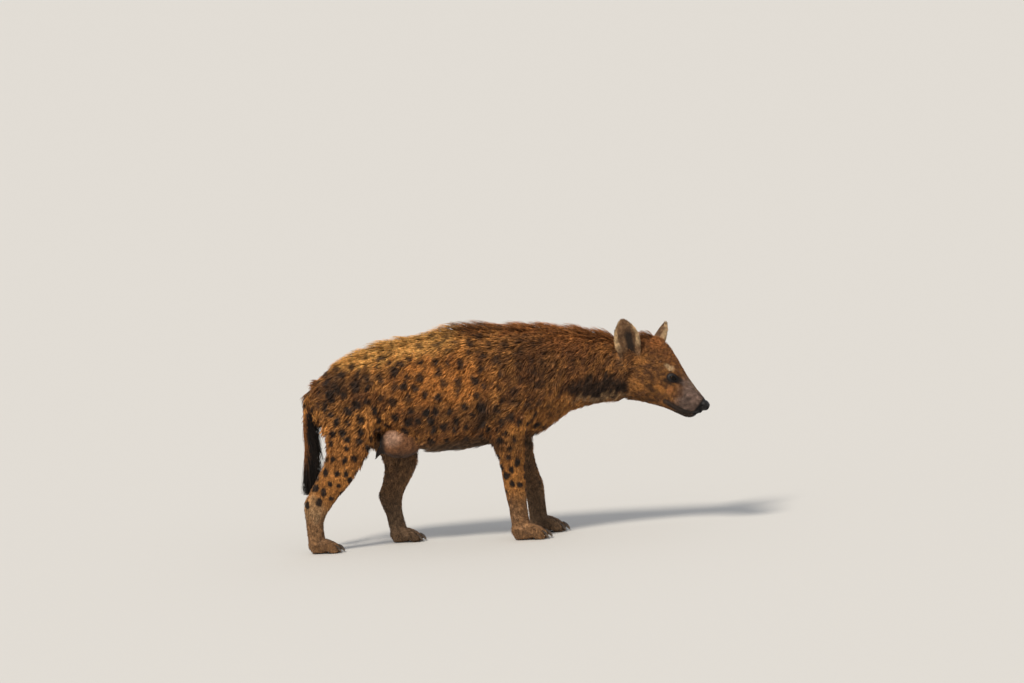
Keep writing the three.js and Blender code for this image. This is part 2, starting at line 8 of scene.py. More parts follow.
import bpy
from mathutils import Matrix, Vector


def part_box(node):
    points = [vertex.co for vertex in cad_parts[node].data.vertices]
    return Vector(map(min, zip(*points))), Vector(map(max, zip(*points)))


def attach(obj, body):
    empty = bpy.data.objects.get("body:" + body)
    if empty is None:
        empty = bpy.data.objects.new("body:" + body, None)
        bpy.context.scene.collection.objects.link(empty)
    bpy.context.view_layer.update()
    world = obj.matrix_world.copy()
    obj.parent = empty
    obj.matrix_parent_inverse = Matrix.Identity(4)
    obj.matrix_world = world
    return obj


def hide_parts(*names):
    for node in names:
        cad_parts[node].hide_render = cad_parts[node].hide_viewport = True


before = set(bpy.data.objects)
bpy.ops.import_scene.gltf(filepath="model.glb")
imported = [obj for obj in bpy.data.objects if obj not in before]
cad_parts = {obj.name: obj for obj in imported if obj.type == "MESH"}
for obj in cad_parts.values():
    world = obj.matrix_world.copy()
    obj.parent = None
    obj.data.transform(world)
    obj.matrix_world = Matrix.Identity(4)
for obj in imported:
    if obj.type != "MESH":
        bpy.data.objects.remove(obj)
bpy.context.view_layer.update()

# %% Tools of the lesson
import math

import bpy
import numpy as np
from mathutils import Matrix, Vector
from mathutils.bvhtree import BVHTree
from mathutils.kdtree import KDTree

scene = bpy.context.scene
MM = 0.001


def only(*objects):
    """Select these objects and nothing else; the first becomes active."""
    bpy.ops.object.select_all(action="DESELECT")
    for o in objects:
        o.select_set(True)
    bpy.context.view_layer.objects.active = objects[0]


def apply_all(o):
    """Apply an object's modifiers in their order."""
    only(o)
    for name in [m.name for m in o.modifiers]:
        bpy.ops.object.modifier_apply(modifier=name)


def edit_whole(o, operator, **settings):
    """Run one operator of edit mode on all of an object's mesh."""
    only(o)
    bpy.ops.object.mode_set(mode="EDIT")
    bpy.ops.mesh.select_all(action="SELECT")
    operator(**settings)
    bpy.ops.object.mode_set(mode="OBJECT")


def linked(name, data):
    """A new object in the scene that holds this mesh or curve."""
    o = bpy.data.objects.new(name, data)
    scene.collection.objects.link(o)
    return o


def hand_over(piece, slot, *nodes):
    """Attach a piece to the root and hide the solids that it stands for; the slot is not used."""
    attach(piece, "root")
    if nodes:
        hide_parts(*nodes)


def rows_of(elements, key, width, kind=np.float32):
    """One property of all the vertices, edges or faces of a mesh as an array, one row each."""
    flat = np.empty(len(elements) * width, kind)
    elements.foreach_get(key, flat)
    return flat.reshape(-1, width)


def points_of(o):
    return rows_of(o.data.vertices, "co", 3).astype(float)


def normals_of(o):
    return rows_of(o.data.vertex_normals, "vector", 3).astype(float)


def set_points(o, points):
    o.data.vertices.foreach_set("co", points.astype(np.float32).ravel())
    o.data.update()


def ramp(value, low, high):
    """0 at low, 1 at high and a smooth rise between; low may be the larger one."""
    share = np.clip((value - low) / (high - low), 0, 1)
    return share * share * (3 - 2 * share)


def length(v):
    return np.linalg.norm(v, axis=-1)


def unit(v):
    return v / np.maximum(length(v), 1e-9)[..., None]


# %% [markdown]
# ## Camera, floor and light
# The photo was taken from far away with a long lens, a little above her back, and it leans by a few
# degrees. A camera 25 m off with the same narrow view gives the same flat perspective, and its roll gives
# the lean. The floor is one large pale disc, so that it fills the frame from every side.

# %% Camera
CAMERA_AWAY = 25.0
FRAME_WIDE = 3.584  # metres across the picture at the animal
CAMERA_UP = math.radians(6)
CAMERA_ROLL = math.radians(4)
SENSOR = 36.0
LOOK_AT = Vector((0.0477, 0.0, 0.6896))

view_way = Vector((0, math.cos(CAMERA_UP), -math.sin(CAMERA_UP)))
upright = Vector((0, math.sin(CAMERA_UP), math.cos(CAMERA_UP)))
across = Vector((1, 0, 0))
right = across * math.cos(CAMERA_ROLL) - upright * math.sin(CAMERA_ROLL)
up = across * math.sin(CAMERA_ROLL) + upright * math.cos(CAMERA_ROLL)
bpy.ops.object.camera_add(location=LOOK_AT - view_way * CAMERA_AWAY)
camera = bpy.context.object
turn = Matrix((right, up, -view_way)).transposed().to_4x4()
camera.matrix_world = Matrix.Translation(camera.location) @ turn
camera.data.sensor_width = SENSOR
camera.data.lens = SENSOR * CAMERA_AWAY / FRAME_WIDE
camera.data.clip_end = 300
scene.camera = camera
print("lens", round(camera.data.lens, 1), "mm")

# %% Floor and lights
FLOOR_REACH = 90.0
FLOOR_COLOUR = (0.6, 0.585, 0.56, 1)
SUN_FROM = Vector((-2.6, -3.4, 5.2))
SUN_POWER = 2.9
SUN_SOFT = math.radians(14)
SUN_COLOUR = (1.0, 0.92, 0.8)
SKY_POWER = 0.6
SKY_COLOUR = (0.92, 0.95, 1.0)


def shader_of(material):
    return material.node_tree.nodes["Principled BSDF"]


def new_material(name, settings):
    """A material whose shader has some inputs set, by their names."""
    material = bpy.data.materials.new(name)
    material.use_nodes = True
    for key, value in settings.items():
        shader_of(material).inputs[key].default_value = value
    return material


bpy.ops.mesh.primitive_circle_add(vertices=96, radius=FLOOR_REACH, fill_type="NGON", location=(0, 0, 0))
floor = bpy.context.object
floor.name = "studio_floor"
floor.data.materials.append(new_material("pale_floor", {"Base Color": FLOOR_COLOUR, "Roughness": 0.9}))

bpy.ops.object.light_add(type="SUN", location=SUN_FROM)
sun = bpy.context.object
sun.name = "light_key"
sun.data.energy = SUN_POWER
sun.data.angle = SUN_SOFT
sun.data.color = SUN_COLOUR
sun.rotation_euler = (-SUN_FROM).to_track_quat("-Z", "Y").to_euler()

world = bpy.data.worlds.new("studio")
world.use_nodes = True
sky = world.node_tree.nodes["Background"]
sky.inputs["Color"].default_value = (*SKY_COLOUR, 1)
sky.inputs["Strength"].default_value = SKY_POWER
scene.world = world
scene.view_settings.view_transform = "Standard"
print("sun", SUN_POWER, "sky", SKY_POWER)

# %% [markdown]
# ## The head's own frame
# The head is pitched down and turned to her right, so its folds are easiest to place in a frame of its own:
# X along the muzzle, Y to her left, Z up, the origin where skull and neck meet. The two eyes are balls whose
# middles are known from the solids, and they fix the frame.

# %% Head frame
HEAD_PITCH = math.radians(34)
HEAD_YAW = math.radians(-19)
EYE_LOOK = Vector((0.52, 0.82, 0.16)).normalized()
EYE_SOLID = Vector((133, 46, 30)) * MM  # the middle of her left eye's solid in the head's frame
EYE_DEEPER = 1.5 * MM
EYE_PLACE = EYE_SOLID - EYE_LOOK * EYE_DEEPER
EYE_RADIUS = 14.5 * MM
SIDES = {"right": -1, "left": 1}

head_turn = Matrix.Rotation(HEAD_PITCH, 3, "Y") @ Matrix.Rotation(HEAD_YAW, 3, "Z")
HEAD_AXES = np.array(head_turn)


def middle(node):
    low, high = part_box(node)
    return (low + high) / 2


eyes_between = (middle("eye_right") + middle("eye_left")) / 2
head_origin = eyes_between - head_turn @ Vector((EYE_SOLID.x, 0, EYE_SOLID.z))


def in_head(points):
    """Places in the head's frame."""
    return (points - np.array(head_origin)) @ HEAD_AXES


def from_head(points):
    """Places in the head's frame, given back in the model's frame."""
    return np.array(points, float) @ HEAD_AXES.T + np.array(head_origin)


def mirror(point, side):
    return np.array([point[0], point[1] * side, point[2]], float)


def eye_axes(side):
    """The eye's own axes: along its slit, up, and the way it looks."""
    look = unit(mirror(EYE_LOOK, side))
    level = unit(np.cross([0, 0, 1], look))
    return np.array([level, np.cross(look, level), look]) @ HEAD_AXES.T


print("head starts at", [round(v, 3) for v in head_origin])

# %% [markdown]
# ## One skin
# A real hide has no seams, so all the solids of flesh are copied, joined and remeshed into one surface. A
# boolean union would keep the facets of the solids, while a voxel remesh gives an even mesh that smooths and
# sculpts well. The crest's coarse locks are first pressed down to the line of the back, because finer ones
# are made later, and the tail gets a bare dock for its brush to hang round.

# %% Join the flesh
LEGS = [f"{end}leg_{side}" for end in ("fore", "hind") for side in SIDES]
PAWS = [f"{end}paw_{side}" for end in ("fore", "hind") for side in SIDES]
EARS = ["ear_right", "ear_left"]
EYES = ["eye_right", "eye_left"]
FLESH = ["torso", "neck", "head", "lower_jaw", "nose", "udder", *EARS, *LEGS, *PAWS]
DOCK_RADII = [24 * MM, 19 * MM, 15 * MM, 12 * MM, 8 * MM]


def merged_copy(node, name):
    """A copy of a solid whose loose triangles are joined up."""
    copy = linked(name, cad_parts[node].data.copy())
    copy.data.materials.clear()
    edit_whole(copy, bpy.ops.mesh.remove_doubles, threshold=1e-6)
    return copy


def strand(name, path, radii, closed=False, around=3):
    """A round tube through points, thick or thin as the radii say, as a mesh."""
    curve = bpy.data.curves.new(name, "CURVE")
    curve.dimensions = "3D"
    curve.bevel_depth = 1
    curve.bevel_resolution = around
    curve.use_fill_caps = not closed
    spline = curve.splines.new("POLY")
    spline.points.add(len(path) - 1)
    for point, place, radius in zip(spline.points, path, radii):
        point.co = (*place, 1)
        point.radius = radius
    spline.use_cyclic_u = closed
    only(linked(name, curve))
    bpy.ops.object.convert(target="MESH")
    return bpy.context.object


def surface_of(names):
    """All the triangles of some solids as one searchable surface, and the solid of each triangle."""
    points, faces, labels = [], [], []
    for number, name in enumerate(names):
        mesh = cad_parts[name].data
        start = len(points)
        points += [tuple(v.co) for v in mesh.vertices]
        faces += [tuple(i + start for i in p.vertices) for p in mesh.polygons]
        labels += [number] * len(mesh.polygons)
    return BVHTree.FromPolygons(points, faces), np.array(labels)


tail_low, tail_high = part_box("tail")
tail_x = (tail_low.x + tail_high.x) / 2
dock_path = [
    (tail_high.x + 0.02, 0, tail_high.z - 0.03),
    (tail_x - 0.005, 0, tail_high.z - 0.06),
    (tail_x - 0.012, 0, tail_high.z - 0.12),
    (tail_x - 0.013, 0, tail_high.z - 0.2),
    (tail_x - 0.01, 0, tail_high.z - 0.27),
]
parts = [merged_copy(node, f"flesh_{node}") for node in FLESH + EYES]
parts.append(strand("flesh_dock", dock_path, DOCK_RADII))
only(*parts)
bpy.ops.object.join()
skin = bpy.context.object
skin.name = "hyena_skin"
print("joined", len(parts), "solids,", len(skin.data.vertices), "points")

# %% Measure the back beside the crest
CREST_SPAN = (-0.665, 0.455)
CREST_LOW = 0.6
BELLY = 0.42
SHARES = (0.62, 0.82)  # of the half width, clear of the locks on both sides
flesh_surface, _ = surface_of(FLESH)


def height_above(x, y):
    hit = flesh_surface.ray_cast(Vector((x, y, 2)), Vector((0, 0, -1)))[0]
    return hit.z if hit else np.nan


def half_width(x):
    mid = (height_above(x, 0.0) + BELLY) / 2
    hits = [flesh_surface.ray_cast(Vector((x, s * 0.5, mid)), Vector((0, -s, 0)))[0] for s in (-1, 1)]
    return np.mean([abs(h.y) for h in hits if h])


def smooth_line(values):
    """Fill the gaps of a measured line and average it over nine stations."""
    window = np.hanning(9) / np.hanning(9).sum()
    good = ~np.isnan(values)
    filled = np.interp(stations, stations[good], values[good])
    return np.convolve(np.pad(filled, 4, mode="edge"), window, mode="valid")


stations = np.linspace(*CREST_SPAN, 80)
half = np.array([half_width(x) for x in stations])
inner_high, outer_high = [
    np.array([(height_above(x, s * h) + height_above(x, -s * h)) / 2 for x, h in zip(stations, half)])
    for s in SHARES
]
inner_arc, outer_arc = [math.sqrt(1 - s * s) for s in SHARES]
back_rise = (inner_high - outer_high) / (inner_arc - outer_arc)
back_base = inner_high - back_rise * inner_arc
half, back_base, back_rise = smooth_line(half), smooth_line(back_base), smooth_line(back_rise)


def back_line(x, y):
    """How high the back is without its long hair: an arch over each station."""
    share = np.clip(np.abs(y) / np.interp(x, stations, half), 0, 0.98)
    return np.interp(x, stations, back_base) + np.interp(x, stations, back_rise) * np.sqrt(1 - share**2)


print("back at the withers", round(float(back_line(0, 0)), 3))

# %% Press the coarse crest down to the line of the back
points = points_of(skin)
x, y, z = points.T
on_back = (x > CREST_SPAN[0]) & (x < CREST_SPAN[1]) & (z > CREST_LOW)
on_back &= np.abs(y) < 0.6 * np.interp(x, stations, half)
lowered = np.minimum(z, back_line(x, y))
points[on_back, 2] = lowered[on_back]
set_points(skin, points)
print("pressed", int(on_back.sum()), "points of the crest")

# %% Remesh, then thin the body out
VOXEL = 2.7 * MM
SKIN_TRIANGLES = 185000


def add_smoothing(name, rounds, group=""):
    """Even the skin out a little in each round, everywhere or where a vertex group says."""
    smoother = skin.modifiers.new(name, "SMOOTH")
    smoother.factor = 0.5
    smoother.iterations = rounds
    smoother.vertex_group = group


remesh = skin.modifiers.new("one_skin", "REMESH")
remesh.mode = "VOXEL"
remesh.voxel_size = VOXEL
remesh.use_smooth_shade = True
add_smoothing("even", 4)
apply_all(skin)
points = points_of(skin)
x, y, z = points.T
local = in_head(points)
on_face = ramp(local[:, 0], -0.02, 0.0) * ramp(local[:, 2], -0.2, -0.17) >= 0.5
by_ears = (x > 0.38) & (z > 0.66) & (np.abs(y) > 0.05)
group = skin.vertex_groups.new(name="coarse")
group.add(np.flatnonzero(~on_face & ~by_ears).tolist(), 1.0, "REPLACE")
triangles = 2 * len(skin.data.polygons)
if triangles > SKIN_TRIANGLES:
    thin = skin.modifiers.new("thin", "DECIMATE")
    thin.ratio = SKIN_TRIANGLES / triangles
    thin.vertex_group = "coarse"
    apply_all(skin)
edit_whole(skin, bpy.ops.mesh.quads_convert_to_tris)
print("skin:", triangles, "triangles, now", len(skin.data.polygons))

# %% [markdown]
# ## What lies where
# Hair is long on back and neck, short on the legs and shortest on face and paws. Each point of the skin
# is told which solid it came from, and the lengths, depths and the lie of the hair are then averaged between
# neighbours, so that no border shows between one part and the next.

# %% Label the skin
body_surface, body_labels = surface_of(FLESH + EYES)
points = points_of(skin)
found = [body_surface.find_nearest(Vector(p))[2] for p in points]
names_at = np.array(FLESH + EYES)[body_labels[found]]
edge_a, edge_b = rows_of(skin.data.edges, "vertices", 2, np.int32).T
neighbours = np.bincount(edge_a, minlength=len(points)) + np.bincount(edge_b, minlength=len(points))


def averaged(values, rounds):
    """Values of each point of the skin, one column each, blended with its neighbours a few times over."""
    values = values.reshape(len(points), -1).astype(float)
    for _ in range(rounds):
        for column in range(values.shape[1]):
            v = values[:, column]
            total = np.bincount(edge_a, v[edge_b], len(points)) + np.bincount(edge_b, v[edge_a], len(points))
            values[:, column] = 0.4 * v + 0.6 * total / np.maximum(neighbours, 1)
    return values


def is_part(word):
    return np.isin(names_at, [n for n in FLESH + EYES if word in n])


on_torso, on_neck, on_ear, on_eye = is_part("torso"), is_part("neck"), is_part("ear_"), is_part("eye_")
on_leg, on_paw, on_udder, on_nose = is_part("leg"), is_part("paw"), is_part("udder"), is_part("nose")
on_skull = is_part("head") | is_part("jaw")
on_dock = (points[:, 0] < tail_x + 0.03) & (np.abs(points[:, 1]) < 0.03) & (points[:, 2] > 0.3)
print({n: int((names_at == n).sum()) for n in ("torso", "neck", "head", "ear_right", "udder")})

# %% Round off the facets
BODY_ROUNDS = 45
ALL_ROUNDS = 7
facets = np.ones(len(points))
facets[on_skull | on_ear | on_nose | on_eye | on_paw] = 0
facets[on_udder] = 0.6
facets = averaged(facets, 4)[:, 0]
group = skin.vertex_groups.new(name="facets")
for i in np.flatnonzero(facets > 0.02).tolist():
    group.add([i], float(facets[i]), "REPLACE")
add_smoothing("round_off", BODY_ROUNDS, "facets")
add_smoothing("soften", ALL_ROUNDS)
apply_all(skin)
skin.vertex_groups.clear()
points = points_of(skin)
print("rounded over", BODY_ROUNDS, "rounds")

# %% [markdown]
# ## How deep, how long and which way
# The solids give the outline out to the tips of the hair. The skin therefore lies inside them by the coat's
# depth, and the tufts fill the space between. The hair lies backward and down: back along neck and back,
# more and more downward on the flanks, straight down the legs, back from the nose on the face.

# %% Depth and length of the coat
height = points[:, 2]
local = in_head(points)
leg_rise = ramp(height, 0.18, 0.5)
face_rise = ramp(local[:, 0], 0.17, 0.02)
COATS = [  # where, depth and length in millimetres
    (on_neck, 11, 33),
    (on_leg, 2.5 + 8.5 * leg_rise, 11 + 25 * leg_rise),
    (on_skull, 1.5 + 3.5 * face_rise, 4.5 + 13 * face_rise),
    (on_ear, 0, 10),
    (on_nose | on_eye, 0, 3),
    (on_paw, 1.5, 10),
    (on_udder, 1.5, 8),
]
depth = np.full(len(points), 11.0)
hair_long = np.full(len(points), 36.0)
for here, deep, long in COATS:
    depth = np.where(here, deep, depth)
    hair_long = np.where(here, long, hair_long)
depth[on_dock] = 0
depth = averaged(depth, 14)[:, 0] * MM
hair_long = averaged(hair_long, 10)[:, 0] * MM
print("coat", round(hair_long.min() * 1000), "to", round(hair_long.max() * 1000), "mm long")

# %% The lie of the coat
side_fall = ramp(height, 0.74, 0.6)
under = ramp(normals_of(skin)[:, 2], -0.5, -0.9)
ahead, level = np.ones(len(points)), np.zeros(len(points))
flow = np.column_stack([-0.8 * ahead, level, (-0.15 - 0.75 * side_fall) * (1 - under)])
down_leg = np.column_stack([-0.12 - 0.75 * leg_rise, level, 0.65 * leg_rise - 1.4])
flow[on_leg] = down_leg[on_leg]
flow[on_paw] = (0.55, 0, -0.8)
flow[on_udder] = (-0.6, 0, -0.8)
over_face = np.column_stack([-ahead, local[:, 1] * 4, -0.1 - 0.35 * ramp(local[:, 2], 0.04, -0.06)])
flow[on_skull | on_nose] = (over_face @ HEAD_AXES.T)[on_skull | on_nose]
ear_ways = {}
for node in EARS:
    ear_points = rows_of(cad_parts[node].data.vertices, "co", 3).astype(float)
    tip = ear_points[np.argmax(length(ear_points - from_head([0, 0, -0.05])))]
    ear_ways[node] = unit(tip - ear_points.mean(0))
    flow[names_at == node] = ear_ways[node]
flow[on_dock] = (0, 0, -1)
flow = averaged(flow, 16)
print("ears point along", {node: way.round(2).tolist() for node, way in ear_ways.items()})

# %% Draw the skin in by the coat's depth
LOWEST = 0.3 * MM
points = points - normals_of(skin) * depth[:, None]
points[:, 2] = np.maximum(points[:, 2], LOWEST)
set_points(skin, points)
print("skin box from", points.min(0).round(3), "to", points.max(0).round(3))

# %% [markdown]
# ## Eyes, lids, mouth and nostrils
# These are sculpted by moving points of the skin in and out along its normals: the slit between the lids is
# sunk behind the eyeball, and the line of the mouth, the nostrils, the tear line and the folds round eye and
# mouth are grooves along short lines in the head's frame. A boolean could cut them too, but it would leave
# hard edges that skin doesn't have.

# %% Open the lids
SLIT_HALF = 13.2 * MM
SLIT_UPPER = 8.6 * MM
SLIT_LOWER = 7.4 * MM
LID_REACH = 6 * MM
LID_THICK = 1.6 * MM
SLIT_SINK = 2.5 * MM


def slit_edge(share, upper):
    """The lid's edge above or below the slit's middle line, from corner (-1) to corner (1)."""
    return (SLIT_UPPER if upper else -SLIT_LOWER) * (1 - share**2)


for side in SIDES.values():
    centre = from_head(mirror(EYE_PLACE, side))
    offset = points - centre
    u, v, w = (offset @ eye_axes(side).T).T
    near = (length(offset) < 0.03) & (w > 0)
    share = np.clip(u / SLIT_HALF, -1, 1)
    inside = near & (np.abs(u) < SLIT_HALF) & (v < slit_edge(share, True)) & (v > slit_edge(share, False))
    points[inside] = centre + unit(offset[inside]) * (EYE_RADIUS - SLIT_SINK)
    lid = near & ~inside & (length(offset) < EYE_RADIUS + LID_REACH)
    thick = np.maximum(length(offset[lid]), EYE_RADIUS + LID_THICK)
    points[lid] = centre + unit(offset[lid]) * thick[:, None]
set_points(skin, points)
print("opened both eyes")

# %% Grooves and folds of the head
MOUTH = [(276, 0, -27), (262, 30, -36), (253, 38, -41), (226, 43, -47), (190, 46, -46), (156, 50, -43)]
FOLDS = [  # places in millimetres in the head's frame, half width and depth of the fold, negative raises it
    (MOUTH, 2.6, 5.0),
    ([(156, 50, -43), (140, 55, -52)], 3.2, 4.0),
    ([(150, 58, -40), (142, 62, -28)], 5.0, 2.0),
    ([(146, 42, 26), (165, 36, 18), (186, 32, 8)], 3.0, 2.2),
    ([(118, 52, 44), (132, 44, 50), (148, 36, 44)], 2.6, 1.8),
    ([(116, 60, 16), (132, 60, 8), (150, 52, 14)], 2.6, 1.6),
    ([(108, 56, 50), (128, 44, 60), (148, 30, 54)], 6.0, -2.0),
    ([(200, 46, -20), (232, 42, -22), (252, 34, -20)], 9.0, -2.2),
    ([(178, 45, -8), (196, 46, -30)], 4.0, 1.6),
    ([(262, 0, 22), (285, 0, 14), (291, 0, -4), (276, 0, -27)], 1.8, 2.4),
    ([(288, 9, 2), (282, 17, 3), (270, 23, -3)], 3.4, 5.5),
]


def to_line(places, corners):
    """The distance from each place to a bent line."""
    best = np.full(len(places), np.inf)
    for start, end in zip(corners[:-1], corners[1:]):
        way = end - start
        share = np.clip(((places - start) @ way) / (way @ way), 0, 1)
        best = np.minimum(best, length(places - start - share[:, None] * way))
    return best


local = in_head(points)
folded = np.zeros(len(points))
near_head = (local[:, 0] > -0.05) & (local[:, 2] > -0.17)
for corners, wide, deep in FOLDS:
    for side in SIDES.values():
        line = np.array([mirror(c, side) for c in corners]) * MM
        away = to_line(local[near_head], line)
        once = 1 if line[:, 1].any() else 0.5  # a fold on the middle line is met from both sides
        folded[near_head] += once * deep * MM * np.exp(-((away / (wide * MM)) ** 2))
points -= normals_of(skin) * folded[:, None]
set_points(skin, points)
local = in_head(points)
print("deepest fold", round(folded.max() * 1000, 1), "mm")

# %% [markdown]
# ## Markings
# Colour is worked out from the place on the body, by one function that skin and hair both use, so that a
# tuft has the colour of the skin it grows from. Painting by hand or a picture could do it too, but a rule
# can be read and changed. Each patch of the coat is a soft ellipsoid with a ragged edge. The spots are round,
# dark and evenly scattered, crisp on thighs, legs and flank and smudged on the shoulder; neck and head have
# none.

# %% Soft noise and soft patches
LATTICE = np.random.default_rng(5).random(8192)
LATTICE_STEPS = np.array((73856093, 19349663, 83492791))  # large primes, so that neighbours differ


def noise(places, size, seed=0):
    """Smooth random values from 0 to 1 with bumps of one size."""
    q = places / size + 100.0 + seed * 7.3
    cell = np.floor(q).astype(np.int64)
    f = q - cell
    f = f * f * (3 - 2 * f)
    total = np.zeros(len(places))
    for corner in np.ndindex(2, 2, 2):
        key = np.bitwise_xor.reduce((cell + corner) * LATTICE_STEPS, axis=1)
        total += np.abs(1 - np.array(corner) - f).prod(1) * LATTICE[key % len(LATTICE)]
    return total


def jitter(places, size, seeds):
    """Noise in each of the three directions, from -0.5 to 0.5."""
    return np.column_stack([noise(places, size, s) for s in seeds]) - 0.5


def one_sided(places):
    """The same places, all brought to her left side."""
    return np.column_stack([places[:, 0], np.abs(places[:, 1]), places[:, 2]])


def inside_of(places, centre, reach, soft=0.45):
    """1 well inside an ellipsoid, 0 outside it, with a soft edge."""
    return ramp(length((places - np.array(centre)) / np.array(reach)), 1 + soft, 1 - soft)


def mix(colour, other, share):
    return colour + (np.asarray(other) - colour) * np.clip(share, 0, 1)[:, None]


sample = noise(points[:1000], 0.05)
print("noise at some points from", sample.min().round(2), "to", sample.max().round(2))

# %% Scatter the spots
SPOT_GAP = 0.036
SPOT_TRIES = 14000
SPOT_RADII = (0.0088, 0.0165)
SPOT_STRETCH = np.array((1.0, 1.0, 0.82))  # a spot is a little taller than wide
LEG_TOP = 0.42
spot_draw = np.random.default_rng(17)
spot_ok = (on_leg & (height > 0.17)) | (on_torso & (points[:, 0] < 0.21))
spots = np.empty((0, 3))
for p in points[spot_draw.permutation(np.flatnonzero(spot_ok))[:SPOT_TRIES]]:
    gap = SPOT_GAP * (0.85 + 0.4 * spot_draw.random()) * (0.9 if p[2] < LEG_TOP else 1)
    if not len(spots) or length(spots - p).min() > gap:
        spots = np.vstack([spots, p])
spot_x, _, spot_z = spots.T
spot_size = spot_draw.uniform(*SPOT_RADII, len(spots)) * (0.82 + 0.2 * ramp(spot_z, 0.25, 0.5))
spot_dark = np.where(spot_z > 0.5, spot_draw.uniform(0.82, 1.0, len(spots)), 1.0)
spot_dark *= 1 - 0.4 * ramp(spot_x, -0.1, 0.1) * ramp(spot_z, LEG_TOP, 0.5)
# Spots are fainter along the top of the back, most on the rump, under the painted sunlight there.
spot_dark *= 1 - (0.2 + 0.4 * ramp(spot_x, -0.3, -0.4)) * ramp(spot_z, 0.65, 0.73)
spot_tree = KDTree(len(spots))
for i, p in enumerate(spots * SPOT_STRETCH):
    spot_tree.insert(p, i)
spot_tree.balance()
print(len(spots), "spots")


def spots_at(places):
    """How dark the spots make each place, from 0 to 1."""
    ragged = 0.011 + 0.009 * ramp(places[:, 2], 0.4, 0.6)[:, None]
    wobble = places + ragged * jitter(places, 0.015, (1, 2, 3))
    index, away = np.array([spot_tree.find(p)[1:] for p in wobble * SPOT_STRETCH]).T
    index = index.astype(int)
    return ramp(away / spot_size[index], 1.25, 0.75) * spot_dark[index]


# %% Colours of the coat
# Golden hair, brightened with painted sunlight, for the top of the rump and the loin.
SUNLIT_GOLD = np.array((0.95, 0.49, 0.13))
TAN = np.array((0.53, 0.222, 0.054))
RUSSET = np.array((0.24, 0.085, 0.022))
UMBER = np.array((0.085, 0.036, 0.014))
SOOT = np.array((0.020, 0.012, 0.008))
GREY_BROWN = np.array((0.16, 0.102, 0.06))
PALE = np.array((0.48, 0.32, 0.17))
# Besides markings, some patches are painted light: painted sunlight on rump and loin, painted shade on the
# lower flank, belly, elbow fold and low neck.
COAT_PATCHES = [  # colour, strength, middle and reach
    (UMBER, 0.55, (0.03, 0.1, 0.6), (0.15, 0.15, 0.13)),  # shoulder
    (UMBER, 0.3, (-0.1, 0, 0.75), (0.22, 0.07, 0.035)),  # behind the withers
    (TAN * (1, 0.88, 0.75), 0.6, (-0.2, 0.13, 0.57), (0.16, 0.08, 0.09)),  # flank
    (UMBER, 0.65, (-0.2, 0.13, 0.44), (0.2, 0.1, 0.06)),  # lower flank, darkened with painted shade
    (SUNLIT_GOLD, 0.97, (-0.5, 0, 0.7), (0.17, 0.12, 0.065)),  # top of the rump: golden hair with painted sunlight
    (SUNLIT_GOLD, 0.8, (-0.3, 0.05, 0.72), (0.14, 0.1, 0.055)),  # loin: golden hair with painted sunlight
    (TAN * 1.1, 0.5, (-0.56, 0.12, 0.46), (0.1, 0.09, 0.09)),  # thigh
    (SOOT * 1.5, 0.75, (-0.585, 0.08, 0.585), (0.05, 0.07, 0.045)),  # before the tail's root
    (SOOT * 1.5, 0.75, (-0.49, 0.1, 0.59), (0.035, 0.06, 0.035)),  # hip
    (UMBER, 0.6, (-0.55, 0.1, 0.53), (0.12, 0.1, 0.05)),  # between hip and thigh
    (SOOT * 1.6, 0.8, (-0.1, 0, 0.335), (0.26, 0.14, 0.05)),  # painted shade along the underside of the belly
    (SOOT, 0.92, (0.35, 0.07, 0.52), (0.13, 0.07, 0.032)),  # painted shade low on the neck's side, along the groove under it
    (PALE, 0.4, (0.34, 0.05, 0.478), (0.1, 0.05, 0.012)),  # throat
    (SOOT * 1.4, 0.7, (-0.075, 0.1, 0.45), (0.03, 0.08, 0.07)),  # painted shade in the fold behind the elbow
    (RUSSET * 1.9, 0.65, (0.14, 0, 0.74), (0.32, 0.05, 0.035)),  # crest
    (TAN, 0.4, (0.16, 0.04, 0.45), (0.1, 0.08, 0.05)),  # breast
]
HOCK = ((-0.69, 0.08, 0.16), (0.035, 0.05, 0.05))
# The coat's streaks run down and a little back: narrow across that way, three times as long along it.
STREAKS = np.array([(0.92, 0, -0.38), (0, 1, 0), (0.13, 0, 0.31)])


def coat_colour(places):
    """The colour of hair and skin at each place of the body."""
    x, y, z = places.T
    broad = noise(places, 0.05, 4) - 0.5
    fine = noise(places @ STREAKS.T, 0.011, 9) - 0.5
    ragged = places + 0.05 * np.column_stack([broad, 0 * broad, fine])
    colour = np.tile(TAN, (len(places), 1))
    colour = mix(colour, RUSSET, 0.42 + 1.3 * broad + 1.2 * fine)
    colour = mix(colour, UMBER, (0.22 + 1.3 * fine) * ramp(z, 0.36, 0.46))
    colour = mix(colour, TAN, 0.35 * ramp(z, 0.42, 0.34))
    front = ramp(x, 0.02, 0.2)
    colour = mix(colour, UMBER, 0.5 * front * ramp(z, 0.36, 0.48))
    smudge = ramp(noise(ragged, 0.03, 6), 0.52, 0.72)
    colour = mix(colour, UMBER * 0.7, 0.7 * front * smudge * ramp(z, 0.42, 0.5))
    colour = mix(colour, RUSSET * 1.25, 0.65 * front * ramp(z, 0.6, 0.7))
    ragged = one_sided(ragged)
    for tint, strength, centre, reach in COAT_PATCHES:
        colour = mix(colour, tint, strength * inside_of(ragged, centre, reach))
    colour = mix(colour, GREY_BROWN * 1.15, 0.7 * ramp(z, 0.22, 0.1))
    colour = mix(colour, PALE, 0.5 * inside_of(ragged, *HOCK))
    inner = ramp(np.abs(y), 0.09, 0.062) * ramp(z, 0.4, 0.33)
    colour = mix(colour, GREY_BROWN * 0.8, 0.8 * inner)
    return mix(colour, SOOT * 1.5, spots_at(places) * ramp(x, 0.23, 0.12) * (1 - 0.6 * inner))


print(len(COAT_PATCHES), "patches on the coat")

